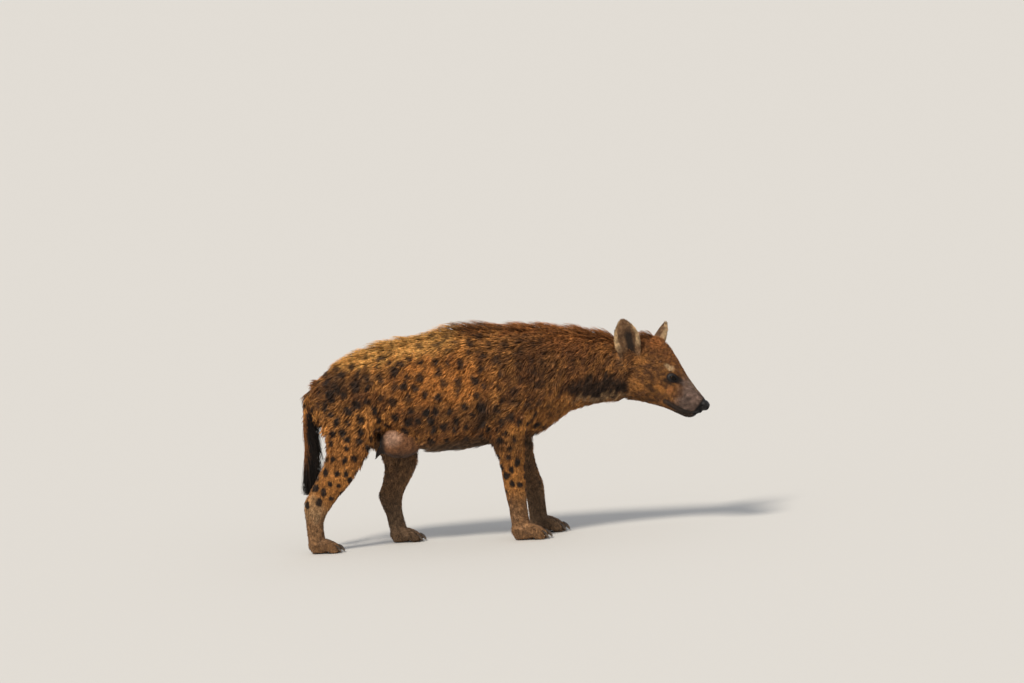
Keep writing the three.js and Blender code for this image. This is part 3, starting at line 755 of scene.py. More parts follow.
# %% Colours of the head
MUZZLE_GREY = np.array((0.15, 0.10, 0.08))
NOSE_BLACK = np.array((0.010, 0.008, 0.008))
CHEEK = np.array((0.48, 0.19, 0.06))
LIP_LINE = np.array([(268, 22, -24), (254, 32, -42), (226, 38, -50), (194, 41, -54), (153, 44, -53)], float)
NOSE_LINE = np.array([(292, 0, 0), (286, 0, -20)], float)
FACE_SOFT = 0.4
BRIDGE = ((205, 0, 44), (40, 22, 16))
FACE_PATCHES = [  # colour, strength, middle and reach in the head's frame, in millimetres
    (RUSSET * 1.5, 0.75, (-5, 20, 100), (50, 45, 22)),  # crown
    (TAN * 0.85, 0.6, (8, 77, 37), (26, 30, 18)),  # base of the ear
    (TAN * 0.9, 0.6, (37, 81, -55), (28, 30, 22)),  # back of the cheek
    (UMBER * 0.7, 0.7, (97, 75, -34), (22, 26, 12)),  # painted shade across the middle of the cheek
    (TAN * 0.95, 0.65, (122, 62, -22), (24, 24, 13)),  # front of the cheek
    (CHEEK, 0.7, (151, 54, -10), (13, 22, 14)),  # below the eye
    (PALE * 1.1, 0.85, (104, 56, 57), (20, 18, 9)),  # above and behind the eye
    (SOOT, 0.97, (160, 42, 36), (24, 20, 13)),  # before the eye
    (SOOT * 1.3, 0.85, (132, 58, 12), (22, 16, 8)),  # lower lid
]


def round_eye(places):
    """How far from the eye; 1 is the edge of the dark lids. Places are on her left, in millimetres."""
    u, v, w = ((places - np.array(EYE_PLACE) / MM) @ (eye_axes(1) @ HEAD_AXES).T).T
    return np.sqrt(((u - 2) / 21) ** 2 + (v / 15) ** 2 + (np.minimum(w - 8, 0) / 14) ** 2)


def head_colour(places, colour):
    """The head's own colours over those of the coat."""
    head_mm = in_head(places) / MM
    side = one_sided(head_mm)
    fuzzy = side + 12 * jitter(places, 0.016, (11, 12, 13))
    mottle = noise(places, 0.011, 21) - 0.5
    face = mix(np.tile(UMBER * 1.45, (len(places), 1)), TAN * 0.65, 0.36 + 1.2 * mottle)
    face = mix(face, RUSSET * 0.85, 0.6 * ramp(fuzzy[:, 2], 45, 85) * ramp(fuzzy[:, 0], 190, 150))
    for tint, strength, centre, reach in FACE_PATCHES:
        face = mix(face, tint, strength * inside_of(fuzzy, centre, reach, FACE_SOFT))
    muzzle = ramp(side[:, 0] + 22 * mottle + 0.25 * side[:, 2], 158, 205)
    face = mix(face, MUZZLE_GREY * (1 + 1.1 * mottle[:, None]), 0.92 * muzzle)
    face = mix(face, GREY_BROWN * 1.5, 0.6 * inside_of(fuzzy, *BRIDGE, FACE_SOFT))
    face = mix(face, SOOT, 0.95 * ramp(to_line(side, LIP_LINE), 13, 6))
    face = mix(face, SOOT * 1.4, 0.85 * ramp(side[:, 0], 175, 215) * ramp(side[:, 2], -40, -52))
    face = mix(face, NOSE_BLACK, ramp(to_line(side, NOSE_LINE), 50, 37))
    face = mix(face, NOSE_BLACK * 1.5, ramp(round_eye(side), 1.25, 0.95))
    on = ramp(head_mm[:, 0], -20, 15) * ramp(head_mm[:, 2], -190, -165) * ramp(places[:, 0], 0.42, 0.47)
    return colour + (face - colour) * on[:, None]


print(len(FACE_PATCHES), "patches on the face")

# %% Inside and rim of the ears
EAR_FACES = {"ear_right": (0.42, -0.9, 0.1), "ear_left": (0.8, 0.58, 0.05)}
EAR_STATIONS = [-0.07, 0, 0.04, 0.075]
EAR_HALF_WIDTHS = [0.02, 0.04, 0.033, 0.0]
ear_dark, ear_rim = np.zeros(len(points)), np.zeros(len(points))
normals = normals_of(skin)
for node, tip_way in ear_ways.items():
    here = names_at == node
    face_way = np.array(head_turn @ Vector(EAR_FACES[node]))
    face_way = unit(face_way - (face_way @ tip_way) * tip_way)
    offset = points[here] - points[here].mean(0)
    along = offset @ tip_way
    beside = offset @ np.cross(tip_way, face_way)
    hollow = ramp(normals[here] @ face_way, 0.15, 0.5)
    ear_dark[here] = hollow * ramp(np.abs(beside - 0.008), 0.019, 0.007) * ramp(along, 0.045, 0.005)
    widest = np.maximum(np.interp(along, EAR_STATIONS, EAR_HALF_WIDTHS), 0.004)
    ear_rim[here] = ramp(np.abs(beside) / widest, 0.72, 0.95) * ramp(along, -0.05, -0.02)
print("ear rim points", int((ear_rim > 0.5).sum()), "dark", int((ear_dark > 0.5).sum()))

# %% Paint the skin
BARE_PINK = np.array((0.36, 0.20, 0.125))
# A painted highlight on the bare skin of the udder.
UDDER_PAINTED_HIGHLIGHT = ((-0.4, 0.09, 0.388), (0.034, 0.05, 0.026), 0.6)
PARTS = averaged(np.column_stack([on_ear, on_udder]).astype(float), 3)
PARTS = np.column_stack([PARTS, averaged(on_nose.astype(float), 1), ear_dark, ear_rim])


def paint(places, parts):
    """The whole animal's colour. Parts are the shares of ear, udder, nose, the ear's dark and its rim."""
    ear, udder, nose, dark, rim = parts.T
    colour = head_colour(places, coat_colour(places))
    grain = noise(places, 0.008, 31) - 0.5
    ear_hair = mix(np.tile(GREY_BROWN * 0.85 + TAN * 0.16, (len(places), 1)), UMBER, 0.35 + grain)
    ear_hair = mix(mix(ear_hair, SOOT * 0.8, 0.95 * dark), PALE * 1.1, 0.85 * rim)
    painted_highlight = inside_of(one_sided(places), *UDDER_PAINTED_HIGHLIGHT)
    bare = mix(np.tile(RUSSET * 0.55 + BARE_PINK * 0.12, (len(places), 1)), BARE_PINK, painted_highlight)
    # Painted shade under the udder and at its rear end.
    bare = mix(bare, SOOT * 1.5, 0.8 * ramp(places[:, 2], 0.35, 0.32))
    bare = mix(bare, SOOT, ramp(places[:, 0], -0.41, -0.43))
    return mix(mix(mix(colour, ear_hair, ear), bare, udder), NOSE_BLACK, nose)


def store(o, name, values):
    """Keep a value or a colour for each point of the mesh, under a name that a material can read."""
    coloured = values.ndim > 1
    if coloured:
        values = np.column_stack([values, np.ones(len(values))])
    attribute = o.data.attributes.new(name, "FLOAT_COLOR" if coloured else "FLOAT", "POINT")
    attribute.data.foreach_set("color" if coloured else "value", values.astype(np.float32).ravel())


eye_near = round_eye(one_sided(local) / MM)
lip_near = to_line(one_sided(local) / MM, LIP_LINE)
hairless = np.maximum.reduce([
    PARTS[:, 2],
    ramp(eye_near, 0.95, 0.8),
    ramp(lip_near, 7, 4),
    ramp(folded, 0.002, 0.0035),
])
hair_long = np.minimum(hair_long, 0.003 + 0.007 * np.maximum(eye_near - 0.9, 0))
hair_long = hair_long * (1 + 0.35 * ear_rim)
skin_colour = paint(points, PARTS)
store(skin, "coat_colour", skin_colour)
store(skin, "bare", np.maximum.reduce([hairless, 0.7 * PARTS[:, 1], 0.5 * ear_dark]))
print("mean colour", skin_colour.mean(0).round(3))

# %% [markdown]
# ## Materials
# Hair and hide are rough and soft. A node group breaks the painted colour up with noise, finer than the
# markings, and gives the bump of short hair; hide, hair, horn, lids and whiskers each use it with their own
# values. Bare skin on nose, lips and udder is smoother than the hide under fur.

# %% A node group for broken-up colour
GROUP_SOCKETS = [
    ("Colour", "INPUT", "NodeSocketColor"),
    ("Coarse", "INPUT", "NodeSocketFloat"),
    ("Fine", "INPUT", "NodeSocketFloat"),
    ("Colour", "OUTPUT", "NodeSocketColor"),
    ("Height", "OUTPUT", "NodeSocketFloat"),
]


def make_break_up():
    """Colour in, colour out, varied at two sizes, and a height for bump."""
    tree = bpy.data.node_groups.new("coat_break_up", "ShaderNodeTree")
    for name, way, kind in GROUP_SOCKETS:
        tree.interface.new_socket(name=name, in_out=way, socket_type=kind)
    nodes, links = tree.nodes, tree.links
    taken = nodes.new("NodeGroupInput")
    given = nodes.new("NodeGroupOutput")
    place = nodes.new("ShaderNodeTexCoord")
    colour = taken.outputs["Colour"]
    for size, share in (("Coarse", 0.5), ("Fine", 0.6)):
        texture = nodes.new("ShaderNodeTexNoise")
        texture.inputs["Detail"].default_value = 3
        links.new(place.outputs["Object"], texture.inputs["Vector"])
        links.new(taken.outputs[size], texture.inputs["Scale"])
        spread = nodes.new("ShaderNodeMapRange")
        spread.inputs["From Min"].default_value = 0.3
        spread.inputs["From Max"].default_value = 0.7
        spread.inputs["To Min"].default_value = 1 - share
        spread.inputs["To Max"].default_value = 1 + share * 0.8
        links.new(texture.outputs["Fac"], spread.inputs["Value"])
        scaled = nodes.new("ShaderNodeVectorMath")
        scaled.operation = "SCALE"
        links.new(colour, scaled.inputs[0])
        links.new(spread.outputs["Result"], scaled.inputs["Scale"])
        colour = scaled.outputs["Vector"]
    links.new(colour, given.inputs["Colour"])
    links.new(texture.outputs["Fac"], given.inputs["Height"])
    return tree


BREAK_UP = make_break_up()


def add_break_up(material, coarse, fine):
    """Break a material's colour up at two sizes."""
    group = material.node_tree.nodes.new("ShaderNodeGroup")
    group.node_tree = BREAK_UP
    group.inputs["Coarse"].default_value = coarse
    group.inputs["Fine"].default_value = fine
    material.node_tree.links.new(group.outputs["Colour"], shader_of(material).inputs["Base Color"])
    return group


def reader(material, name):
    """A node that reads what is stored on the mesh."""
    read = material.node_tree.nodes.new("ShaderNodeAttribute")
    read.attribute_name = name
    return read


print("node group with", len(BREAK_UP.nodes), "nodes")

# %% Hide, hair and uneven colour
def coat_material(name, coarse, fine, bump, roughness, attribute="coat_colour"):
    """A soft, rough material that reads its colour from the mesh."""
    material = new_material(name, {"Roughness": roughness, "Specular IOR Level": 0.25})
    group = add_break_up(material, coarse, fine)
    relief = material.node_tree.nodes.new("ShaderNodeBump")
    relief.inputs["Strength"].default_value = bump
    relief.inputs["Distance"].default_value = 0.002
    links = material.node_tree.links
    links.new(reader(material, attribute).outputs["Color"], group.inputs["Colour"])
    links.new(group.outputs["Height"], relief.inputs["Height"])
    links.new(relief.outputs["Normal"], shader_of(material).inputs["Normal"])
    return material


def uneven_material(name, coarse, settings):
    """A material whose one colour varies softly from place to place."""
    material = new_material(name, settings)
    group = add_break_up(material, coarse, coarse * 5)
    group.inputs["Colour"].default_value = settings["Base Color"]
    return material


HIDE = coat_material("hide", 60, 420, 0.5, 0.75)
HAIR = coat_material("hair", 90, 600, 0.25, 0.62)
gloss = HIDE.node_tree.nodes.new("ShaderNodeMapRange")
gloss.inputs["To Min"].default_value = 0.8
gloss.inputs["To Max"].default_value = 0.5
HIDE.node_tree.links.new(reader(HIDE, "bare").outputs["Fac"], gloss.inputs["Value"])
HIDE.node_tree.links.new(gloss.outputs["Result"], shader_of(HIDE).inputs["Roughness"])
skin.data.materials.clear()
skin.data.materials.append(HIDE)
only(skin)
bpy.ops.object.shade_smooth()
print("hide and hair:", [m.name for m in (HIDE, HAIR)])

# %% [markdown]
# ## A map of the hide
# Tufts can't be unwrapped one by one, so each takes its place on a map of the hide: trunk and head are
# unrolled round the body's long axis, and every leg and ear round its own, each in its own field of the map.

# %% Unroll the hide
FIELDS = {"body": (0.0, 0.0, 1.0, 0.5)}  # left, bottom, width and height on the map
for order, node in enumerate(LEGS):
    FIELDS[node] = (0.25 * order, 0.5, 0.25, 0.3)
for order, node in enumerate([*EARS, "udder"]):
    FIELDS[node] = (0.25 * order, 0.8, 0.25, 0.2)
CHARTS = list(FIELDS)
AXIS_X = [-0.6, 0.4, 0.7]
AXIS_Z = [0.55, 0.57, 0.45]


def chart_of(name):
    """The number of the field that a solid lies in; a paw shares its leg's, and the rest are body."""
    leg = name.replace("paw", "leg")
    return CHARTS.index(leg) if leg in CHARTS else 0


chart = np.array([chart_of(n) for n in names_at])


def leg_line(number):
    """The middle of a leg, forward and back, at each height."""
    p = points[chart == number]
    steps = np.linspace(p[:, 2].min(), p[:, 2].max(), 12)
    return steps, np.array([p[np.abs(p[:, 2] - z) < 0.035, 0].mean() for z in steps])


def unroll(places, charts):
    """Where each place lies on the map, from 0 to 1 both ways."""
    uv = np.zeros((len(places), 2))
    for number in np.unique(charts):
        here = charts == number
        name, field = CHARTS[number], points[chart == number]
        low, high = field.min(0), field.max(0)
        mid = (low + high) / 2
        x, y, z = places[here].T
        if name == "body":
            along = (x - low[0]) / (high[0] - low[0])
            angle = np.arctan2(y, z - np.interp(x, AXIS_X, AXIS_Z))
        else:
            along = (z - low[2]) / (high[2] - low[2])
            centre_x = np.interp(z, *leg_line(number)) if "leg" in name else mid[0]
            angle = np.arctan2(y - mid[1], x - centre_x)
        left, bottom, wide, tall = FIELDS[name]
        uv[here, 0] = left + wide * (0.01 + 0.98 * np.clip(along, 0, 1))
        uv[here, 1] = bottom + tall * (0.01 + 0.98 * (angle / (2 * math.pi) + 0.5))
    return uv


print("map fields:", CHARTS)

# %% [markdown]
# ## Hair as mesh
# Each tuft is a thin, closed, three-sided blade: its root is sunk in the hide, its rings follow the lie of
# the coat and its tip stands a little clear. One function makes thousands at once as arrays, which is far
# quicker than copying an object, and each piece stays small enough to save whole.

# %% Scatter roots on the hide
TRIANGLES = rows_of(skin.data.polygons, "vertices", 3, np.int32)
NORMALS = normals_of(skin)
DENSITY = 1.0
corner = points[TRIANGLES]
TRIANGLE_AREA = 0.5 * length(np.cross(corner[:, 1] - corner[:, 0], corner[:, 2] - corner[:, 0]))


def scatter(weight, count, seed):
    """Random places on the hide, more where the weight of its points is greater."""
    draw = np.random.default_rng(seed)
    chance = TRIANGLE_AREA * weight[TRIANGLES].mean(1)
    count = int(count * DENSITY)
    picked = draw.choice(len(TRIANGLES), count, p=chance / chance.sum())
    a, b = draw.random((2, count))
    flip = a + b > 1
    a[flip], b[flip] = 1 - a[flip], 1 - b[flip]
    return picked, np.column_stack([1 - a - b, a, b]), draw


def taken_at(values, picked, shares):
    """Values of the hide's points, blended at the scattered places."""
    return (values[TRIANGLES[picked]] * (shares[..., None] if values.ndim > 1 else shares)).sum(1)


print("hide of", round(TRIANGLE_AREA.sum(), 2), "square metres")

# %% Blades of hair
RING_WIDTHS = (0.75, 1.0, 0.72, 0.45, 0.3)
BLADE_THICK = 0.25  # a share of the width


def blades(roots, ups, ways, longs, wides, lifts, sinks, draw, steps, sway=0.12):
    """The points and triangles of many tufts, and the place on the hide under each ring and tip.

    Steps are the rings' places along a tuft, from 0 at its root to 1 at its tip.
    """
    n, rings = len(roots), len(steps)
    sides = unit(np.cross(ups, ways))
    bend = draw.normal(0, sway, n)
    verts = np.empty((n, rings * 3 + 1, 3))
    middles = np.empty((n, rings + 1, 3))
    for k, step in enumerate([*steps, 1.0]):
        rise = lifts * (1 - (1 - step) ** 2) - sinks * (1 - step) ** 3
        aside = sides * (bend * longs * step * step)[:, None]
        middles[:, k] = roots + ways * (longs * step)[:, None] + aside
        core = middles[:, k] + ups * rise[:, None]
        if k < rings:
            half_wide = wides[:, None] * RING_WIDTHS[k] / 2
            verts[:, 3 * k] = core - sides * half_wide
            verts[:, 3 * k + 1] = core + sides * half_wide
            verts[:, 3 * k + 2] = core + ups * (half_wide * 2 * BLADE_THICK)
    verts[:, -1] = core
    faces = [(0, 1, 2)]
    for k in range(rings - 1):
        for i in range(3):
            a, b = 3 * k + i, 3 * k + (i + 1) % 3
            faces += [(a, a + 3, b), (b, a + 3, b + 3)]
    last, tip = 3 * (rings - 1), 3 * rings
    faces += [(last + i, tip, last + (i + 1) % 3) for i in range(3)]
    return verts, np.array(faces)[None] + (np.arange(n) * verts.shape[1])[:, None, None], middles


print("a blade's rings have these shares of its width:", RING_WIDTHS)

# %% Hair as an object
TIP_LIGHT = 1.35
ROOT_DARK = 0.6
BRIGHTEST = 0.88  # no hair is lighter than this, whatever its hue
MAP_PATCH = 0.003  # a tuft's size on the map


def hair_piece(name, verts, faces, colours, uv, shades, slot="coat"):
    """A mesh of tufts with its colours, its place on the map and its material."""
    n, per, _ = verts.shape
    loops = faces.ravel()
    starts = np.arange(0, len(loops), 3)
    mesh = bpy.data.meshes.new(name)
    mesh.vertices.add(n * per)
    mesh.vertices.foreach_set("co", verts.astype(np.float32).ravel())
    mesh.loops.add(len(loops))
    mesh.loops.foreach_set("vertex_index", loops.astype(np.int32))
    mesh.polygons.add(len(starts))
    mesh.polygons.foreach_set("loop_start", starts.astype(np.int32))
    mesh.polygons.foreach_set("use_smooth", np.ones(len(starts), bool))
    mesh.update(calc_edges=True)
    piece = linked(name, mesh)
    ring_of = np.arange(per) // 3
    along = ring_of / ring_of.max()
    tone = (ROOT_DARK + (TIP_LIGHT - ROOT_DARK) * along)[None, :, None] * shades[:, None, None]
    toned = colours[:, ring_of] * tone
    toned /= np.maximum(toned.max(-1, keepdims=True) / BRIGHTEST, 1)
    store(piece, "coat_colour", toned.reshape(-1, 3))
    spread = MAP_PATCH * np.column_stack([along - 0.5, (np.arange(per) % 3) / 2 - 0.5])
    corners = (uv[:, None] + spread[None]).reshape(-1, 2)[loops]
    layer = mesh.uv_layers.new(name="OFBake")
    layer.data.foreach_set("uv", np.clip(corners, 0, 1).astype(np.float32).ravel())
    mesh.materials.append(HAIR)
    hand_over(piece, slot)
    print(name, len(mesh.polygons), "triangles")
    return piece


def ring_paint(middles, parts):
    """The coat's colour at every ring of every tuft."""
    n, rings, _ = middles.shape
    return paint(middles.reshape(-1, 3), np.repeat(parts, rings, 0)).reshape(n, rings, 3)


# %% One function for every stretch of the coat
HAIR_LOWEST = 0.4 * MM
LONG_STEPS = (0.0, 0.33, 0.7)
SHORT_STEPS = (0.0, 0.5)


def across_up(ways, ups):
    """The ways, turned to lie flat on the hide."""
    return unit(ways - (ways * ups).sum(1)[:, None] * ups)


def coat(name, weight, count, seed, steps, shade=0.25):
    """Tufts on the part of the hide that the weight gives, closer together where they are short."""
    closer = (0.02 / (hair_long + 0.004)) ** 1.2
    picked, shares, draw = scatter(weight * closer, count, seed)
    n = len(picked)
    roots = taken_at(points, picked, shares)
    ups = unit(taken_at(NORMALS, picked, shares))
    ways = unit(taken_at(flow, picked, shares))
    swirl = 0.9 * (noise(roots, 0.022, seed) - 0.5) + draw.normal(0, 0.1, n)
    ways = across_up(ways + np.cross(ups, ways) * swirl[:, None], ups)
    longs = taken_at(hair_long, picked, shares) * draw.uniform(0.7, 1.2, n)
    clump = noise(roots, 0.012, seed + 1)
    room = taken_at(depth, picked, shares) * 1.15 + 0.0006
    lifts = room * (0.45 + 0.75 * clump) * draw.uniform(0.6, 1.1, n)
    wides = (0.0008 + 0.085 * longs) * draw.uniform(0.7, 1.3, n)
    shades = (0.65 + 0.7 * clump) * np.exp(draw.normal(0, shade, n))
    sinks = np.minimum(0.003, 0.12 * longs)
    verts, faces, middles = blades(roots, ups, ways, longs, wides, lifts, sinks, draw, steps)
    verts[..., 2] = np.maximum(verts[..., 2], HAIR_LOWEST)
    colours = ring_paint(middles, taken_at(PARTS, picked, shares))
    uv = unroll(roots, chart[TRIANGLES[picked, shares.argmax(1)]])
    return hair_piece(name, verts, faces, colours, uv, shades)


print("rings of long hair at", LONG_STEPS, "and of short hair at", SHORT_STEPS)

# %% Coat of the body
WAIST = -0.2
HALVES = {"right": points[:, 1] < 0, "left": points[:, 1] >= 0}
ENDS = {"front": points[:, 0] > WAIST, "rear": points[:, 0] <= WAIST}
furry = 1 - averaged((on_eye | on_udder).astype(float), 1)[:, 0]
furry = np.clip(furry - hairless, 0, 1)
for side, here in HALVES.items():
    for end, there in ENDS.items():
        coat(f"coat_torso_{side}_{end}", on_torso * here * there * furry, 8200, 31, LONG_STEPS)
    coat(f"coat_neck_{side}", on_neck * here * furry, 5000, 32, LONG_STEPS)
    coat(f"coat_foreleg_{side}", is_part(f"foreleg_{side}") * furry, 7000, 33, SHORT_STEPS)
    coat(f"coat_hindleg_{side}", is_part(f"hindleg_{side}") * furry, 7200, 34, LONG_STEPS)

# %% Coat of head, ears, paws and udder
coat("coat_head", on_skull * furry, 18000, 35, SHORT_STEPS, 0.2)
coat("coat_ears", on_ear * (1 - 0.6 * ear_dark) * (1 + ear_rim), 5000, 36, SHORT_STEPS, 0.2)
coat("coat_paws", on_paw * (NORMALS[:, 2] > -0.6), 6500, 37, SHORT_STEPS, 0.22)
coat("coat_udder", on_udder * (0.2 + PARTS[:, 1]), 800, 38, SHORT_STEPS, 0.25)

# %% [markdown]
# ## Crest and tail brush
# The longest hair stands up along back and neck and falls backward; the tail ends in a brush of long black
# hair. Both are the same blades, longer, with more rings so that they bend, and rooted along a line instead
# of scattered over the hide.

# %% Crest
CREST_LOCKS = 3000
CREST_ROOTS = (-0.655, 0.545)
CREST_WIDE = 0.014
CREST_RISE = 0.019
ROOT_SINK = 0.004
crest_draw = np.random.default_rng(41)
count = int(CREST_LOCKS * DENSITY)
crest_x = crest_draw.uniform(*CREST_ROOTS, count)
crest_y = crest_draw.normal(0, CREST_WIDE, count)
hide_surface = BVHTree.FromObject(skin, bpy.context.evaluated_depsgraph_get())
hits = [hide_surface.ray_cast(Vector((x, y, 2)), Vector((0, 0, -1)))[:2] for x, y in zip(crest_x, crest_y)]
roots, ups = np.array(hits).transpose(1, 0, 2)
standing = ramp(crest_x, -0.6, -0.4) * (1 - 0.6 * ramp(crest_x, 0.44, 0.5))
outward = crest_y * 9 + crest_draw.normal(0, 0.1, count)
ways = across_up(np.column_stack([np.full(count, -1.0), outward, 0.05 * standing]), ups)
longs = crest_draw.uniform(0.045, 0.085, count) * (1 - 0.5 * ramp(crest_x, 0.42, 0.5))
longs = longs * (1 - 0.6 * ramp(crest_x, -0.5, -0.6))
tufted = 0.45 + 0.9 * noise(np.column_stack([crest_x, 0 * crest_x, 0 * crest_x]), 0.03, 3)
lifts = 0.004 + 0.008 * ramp(crest_x, -0.62, -0.5) + CREST_RISE * standing * tufted
lifts = lifts * crest_draw.uniform(0.6, 1.05, count)
shades = np.exp(crest_draw.normal(0, 0.3, count))
wides = crest_draw.uniform(0.003, 0.006, count)
crest_steps = (0.0, 0.22, 0.45, 0.7, 0.88)
verts, faces, middles = blades(
    roots, ups, ways, longs, wides, lifts, ROOT_SINK, crest_draw, crest_steps, sway=0.14
)
dark_base = ramp(noise(roots, 0.045, 8), 0.45, 0.7) * ramp(crest_x, 0.12, 0.0) * ramp(crest_x, -0.45, -0.25)
dark_base = dark_base[:, None] * np.linspace(0.8, 0.2, middles.shape[1])
colours = ring_paint(middles, np.zeros((count, PARTS.shape[1])))
colours = colours + (SOOT * 1.6 - colours) * dark_base[..., None]
hair_piece("crest", verts, faces, colours, unroll(roots, np.zeros(count, int)), shades)

# %% Tail brush
BRUSH_HAIRS = 2400
HANG_Z = [0.2, 0.3, 0.4, 0.58]  # where the tips of the hair hang
HANG_X = [-0.695, -0.672, -0.676, -0.66]
LIFT_SHARES = [0, 0.3, 0.75, 1]  # places along the dock, from its top to its tip
LIFT_HEIGHTS = [0.008, 0.015, 0.018, 0.006]
BARE_TOP = 0.02
tail_draw = np.random.default_rng(43)
count = int(BRUSH_HAIRS * DENSITY)
share = tail_draw.random(count)
line_x, _, line_z = np.array(dock_path[::-1]).T
root_z = line_z[-1] - BARE_TOP - share * (line_z[-1] - line_z[0] - BARE_TOP)
root_x = np.interp(root_z, line_z, line_x)
around = tail_draw.uniform(0, 2 * math.pi, count)
outward = np.column_stack([np.cos(around), np.sin(around), 0 * around])
under_hide = np.interp(root_z, line_z, DOCK_RADII[::-1]) * 0.7
roots = np.column_stack([root_x, 0 * root_x, root_z]) + outward * under_hide[:, None]
longs = 0.05 + 0.13 * ramp(share, 0.15, 0.8) * tail_draw.uniform(0.8, 1.15, count)
end_x = np.interp(root_z - longs, HANG_Z, HANG_X)
ways = np.column_stack([(end_x - root_x) / longs, 0 * root_x, -np.ones(count)])
ways = unit(ways + tail_draw.normal(0, 0.03, (count, 3)))
ups = across_up(outward, ways)
lifts = np.interp(share, LIFT_SHARES, LIFT_HEIGHTS) * tail_draw.uniform(0.3, 1.1, count)
lifts = lifts * (1 + 0.5 * ramp(np.cos(around), 0.2, 0.9))
wides = tail_draw.uniform(0.0028, 0.005, count)
brush_steps = (0.0, 0.2, 0.45, 0.7, 0.88)
verts, faces, middles = blades(
    roots, ups, ways, longs, wides, lifts, ROOT_SINK, tail_draw, brush_steps, sway=0.05
)
verts[..., 2] = np.maximum(verts[..., 2], tail_low.z - 0.004)
rear = ramp(np.cos(around), -0.35, -0.8)
black = ramp(middles[..., 2], 0.535, 0.48) * (1 - 0.8 * rear[:, None] * ramp(middles[..., 2], 0.27, 0.34))
colours = RUSSET * 1.3 + (SOOT * 0.6 - RUSSET * 1.3) * black[..., None]
map_spots = np.column_stack([0.01 + 0.05 * share, 0.25 + around * 0.01])
shades = np.exp(tail_draw.normal(0, 0.3, count))
brush = hair_piece("tail_brush", verts, faces, colours, map_spots, shades, "tail_hair")

# %% [markdown]
# ## Eyes, lid edges and claws
# The eyeball is a ball with a bulging cornea, nearly black, under a clear wet coat that takes the highlight.
# A second, glassy shell could stand for the cornea, but through the narrow slit one surface looks the same.
# The edge of the lids is a thin dark roll round the slit. Each claw is its solid, rounded by a subdivision
# surface, with the dull streaks of horn.

# %% Material of the eye
EYE_SETTINGS = {
    "Base Color": (0.02, 0.011, 0.007, 1),
    "Roughness": 0.12,
    "Specular IOR Level": 0.04,
    "Coat Weight": 0.6,
    "Coat Roughness": 0.04,
    "Coat IOR": 1.25,
}
PUPIL = (0.003, 0.002, 0.002, 1)
EYE_WHITE = (0.012, 0.007, 0.005, 1)  # nearly black, for only its shaded edge shows
IRIS_RINGS = [  # how far out, and the colour there
    (0.4, (0.004, 0.003, 0.002, 1)),
    (0.5, (0.035, 0.017, 0.008, 1)),
    (0.85, (0.022, 0.011, 0.006, 1)),
]


def eye_material():
    """A dark brown iris round a black pupil, seen through a wet surface."""
    material = new_material("eye_wet", EYE_SETTINGS)
    nodes, links = material.node_tree.nodes, material.node_tree.links
    rings = nodes.new("ShaderNodeValToRGB")
    steps = rings.color_ramp.elements
    steps[0].color = PUPIL
    steps[1].color = EYE_WHITE
    for place, colour in IRIS_RINGS:
        steps.new(place).color = colour
    links.new(reader(material, "from_axis").outputs["Fac"], rings.inputs["Fac"])
    links.new(rings.outputs["Color"], shader_of(material).inputs["Base Color"])
    return material


LID_SETTINGS = {
    "Base Color": (0.007, 0.005, 0.004, 1),
    "Roughness": 0.45,
    "Specular IOR Level": 0.15,
    "Coat Weight": 0.02,
    "Coat Roughness": 0.04,
}
EYE_WET = eye_material()
LID_DARK = uneven_material("lid_edge", 200, LID_SETTINGS)
print("materials", EYE_WET.name, LID_DARK.name)

# %% Eyeballs and lid edges
LID_ROLL = 1.5 * MM
LID_CLEAR = 1.4 * MM
LID_POINTS = 48
for name, side in SIDES.items():
    centre = Vector(from_head(mirror(EYE_PLACE, side)))
    axes = eye_axes(side)
    bpy.ops.mesh.primitive_uv_sphere_add(segments=48, ring_count=32, radius=EYE_RADIUS, location=(0, 0, 0))
    ball = bpy.context.object
    ball.name = f"eyeball_{name}"
    on_ball = points_of(ball)
    from_axis = np.arctan2(length(on_ball[:, :2]), on_ball[:, 2]) / (math.pi / 2)
    cornea = 1 + 0.06 * ramp(from_axis, 0.55, 0.2)
    set_points(ball, (on_ball * cornea[:, None]) @ axes + np.array(centre))
    store(ball, "from_axis", np.clip(from_axis / 0.62, 0, 1))
    bpy.ops.object.shade_smooth()
    ball.data.materials.append(EYE_WET)
    hand_over(ball, "eye", f"eye_{name}")
    rim = []
    for angle in np.arange(LID_POINTS) * 2 * math.pi / LID_POINTS:
        share = math.cos(angle)
        u, v = share * SLIT_HALF, slit_edge(share, math.sin(angle) > 0)
        w = math.sqrt((EYE_RADIUS + LID_CLEAR) ** 2 - u * u - v * v)
        rim.append(centre + Vector(np.array([u, v, w]) @ axes))
    edge = strand(f"lid_edge_{name}", rim, [LID_ROLL] * LID_POINTS, closed=True)
    edge.data.materials.append(LID_DARK)
    bpy.ops.object.shade_smooth()
    hand_over(edge, "dark_skin")
print("left eye at", [round(v, 3) for v in centre])

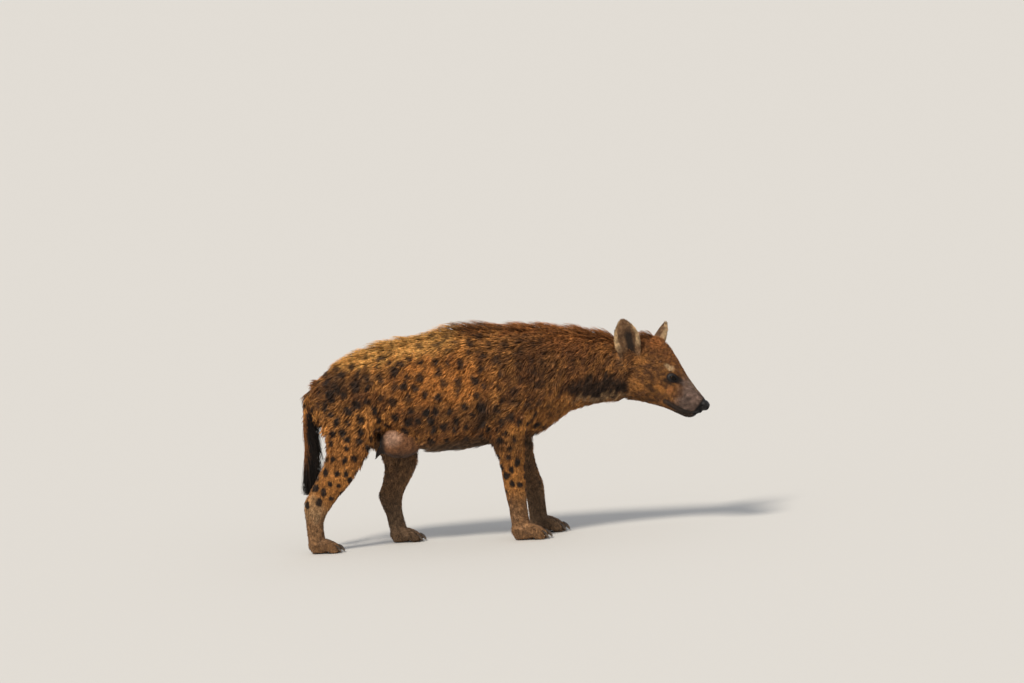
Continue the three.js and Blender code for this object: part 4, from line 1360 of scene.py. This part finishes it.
# %% Claws
CLAW_SWELL = 0.9 * MM  # makes up for what the subdivision rounds away, most at the tip
CLAW_ROOT = (0.045, 0.032, 0.024)
CLAW_TIP = (0.16, 0.12, 0.09)
HORN = coat_material("horn", 250, 900, 0.2, 0.4, "horn_colour")
for node in [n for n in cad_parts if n.startswith("claw_")]:
    horn = merged_copy(node, f"{node}_horn")
    rounder = horn.modifiers.new("rounder", "SUBSURF")
    rounder.levels = 2
    rounder.render_levels = 2
    apply_all(horn)
    set_points(horn, points_of(horn) + normals_of(horn) * CLAW_SWELL)
    bpy.ops.object.shade_smooth()
    z = points_of(horn)[:, 2]
    store(horn, "horn_colour", mix(np.tile(CLAW_ROOT, (len(z), 1)), CLAW_TIP, ramp(z, z.max(), z.min())))
    horn.data.materials.append(HORN)
    hand_over(horn, "claw", node)
print("claws rounded")

# %% [markdown]
# ## Whiskers
# A few stiff dark whiskers stand out from the pads of the upper lip, swept back. Blades like those of the
# coat would look flat from some sides, so these are thin round tubes. They are the only single hairs here.

# %% Whiskers
WHISKERS_A_SIDE = 14
WHISKER_RADII = np.linspace(0.45 * MM, 0.1 * MM, 6)
WHISKER_DROOP = np.array([-0.25, 0, -0.12])
WHISKER_SETTINGS = {"Base Color": (0.02, 0.016, 0.013, 1), "Roughness": 0.4}
whisker_draw = np.random.default_rng(47)
whisker_parts = []
for side in SIDES.values():
    for k in range(WHISKERS_A_SIDE):
        row, place = divmod(k, 4)
        start = mirror((205 + 14 * place, 40, -12 - 8 * row), side) * MM
        way = mirror((-0.75 + 0.1 * place, 0.5, -0.3), side) + whisker_draw.normal(0, 0.1, 3)
        long = whisker_draw.uniform(0.025, 0.045)
        shares = np.linspace(0, 1, len(WHISKER_RADII))
        path = [from_head(start + way * long * s + WHISKER_DROOP * long * s * s) for s in shares]
        whisker_parts.append(strand("whisker", path, WHISKER_RADII, around=0))
only(*whisker_parts)
bpy.ops.object.join()
whiskers = bpy.context.object
whiskers.name = "whiskers"
whiskers.data.materials.append(uneven_material("whisker_hair", 120, WHISKER_SETTINGS))
hand_over(whiskers, "tail_hair")
print("whiskers", len(whisker_parts))

# %% [markdown]
# ## What stands for what
# The skin stands for every solid of flesh, and the brush for the tail.

# %% Finish
hand_over(skin, "coat", *FLESH)
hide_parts("tail")
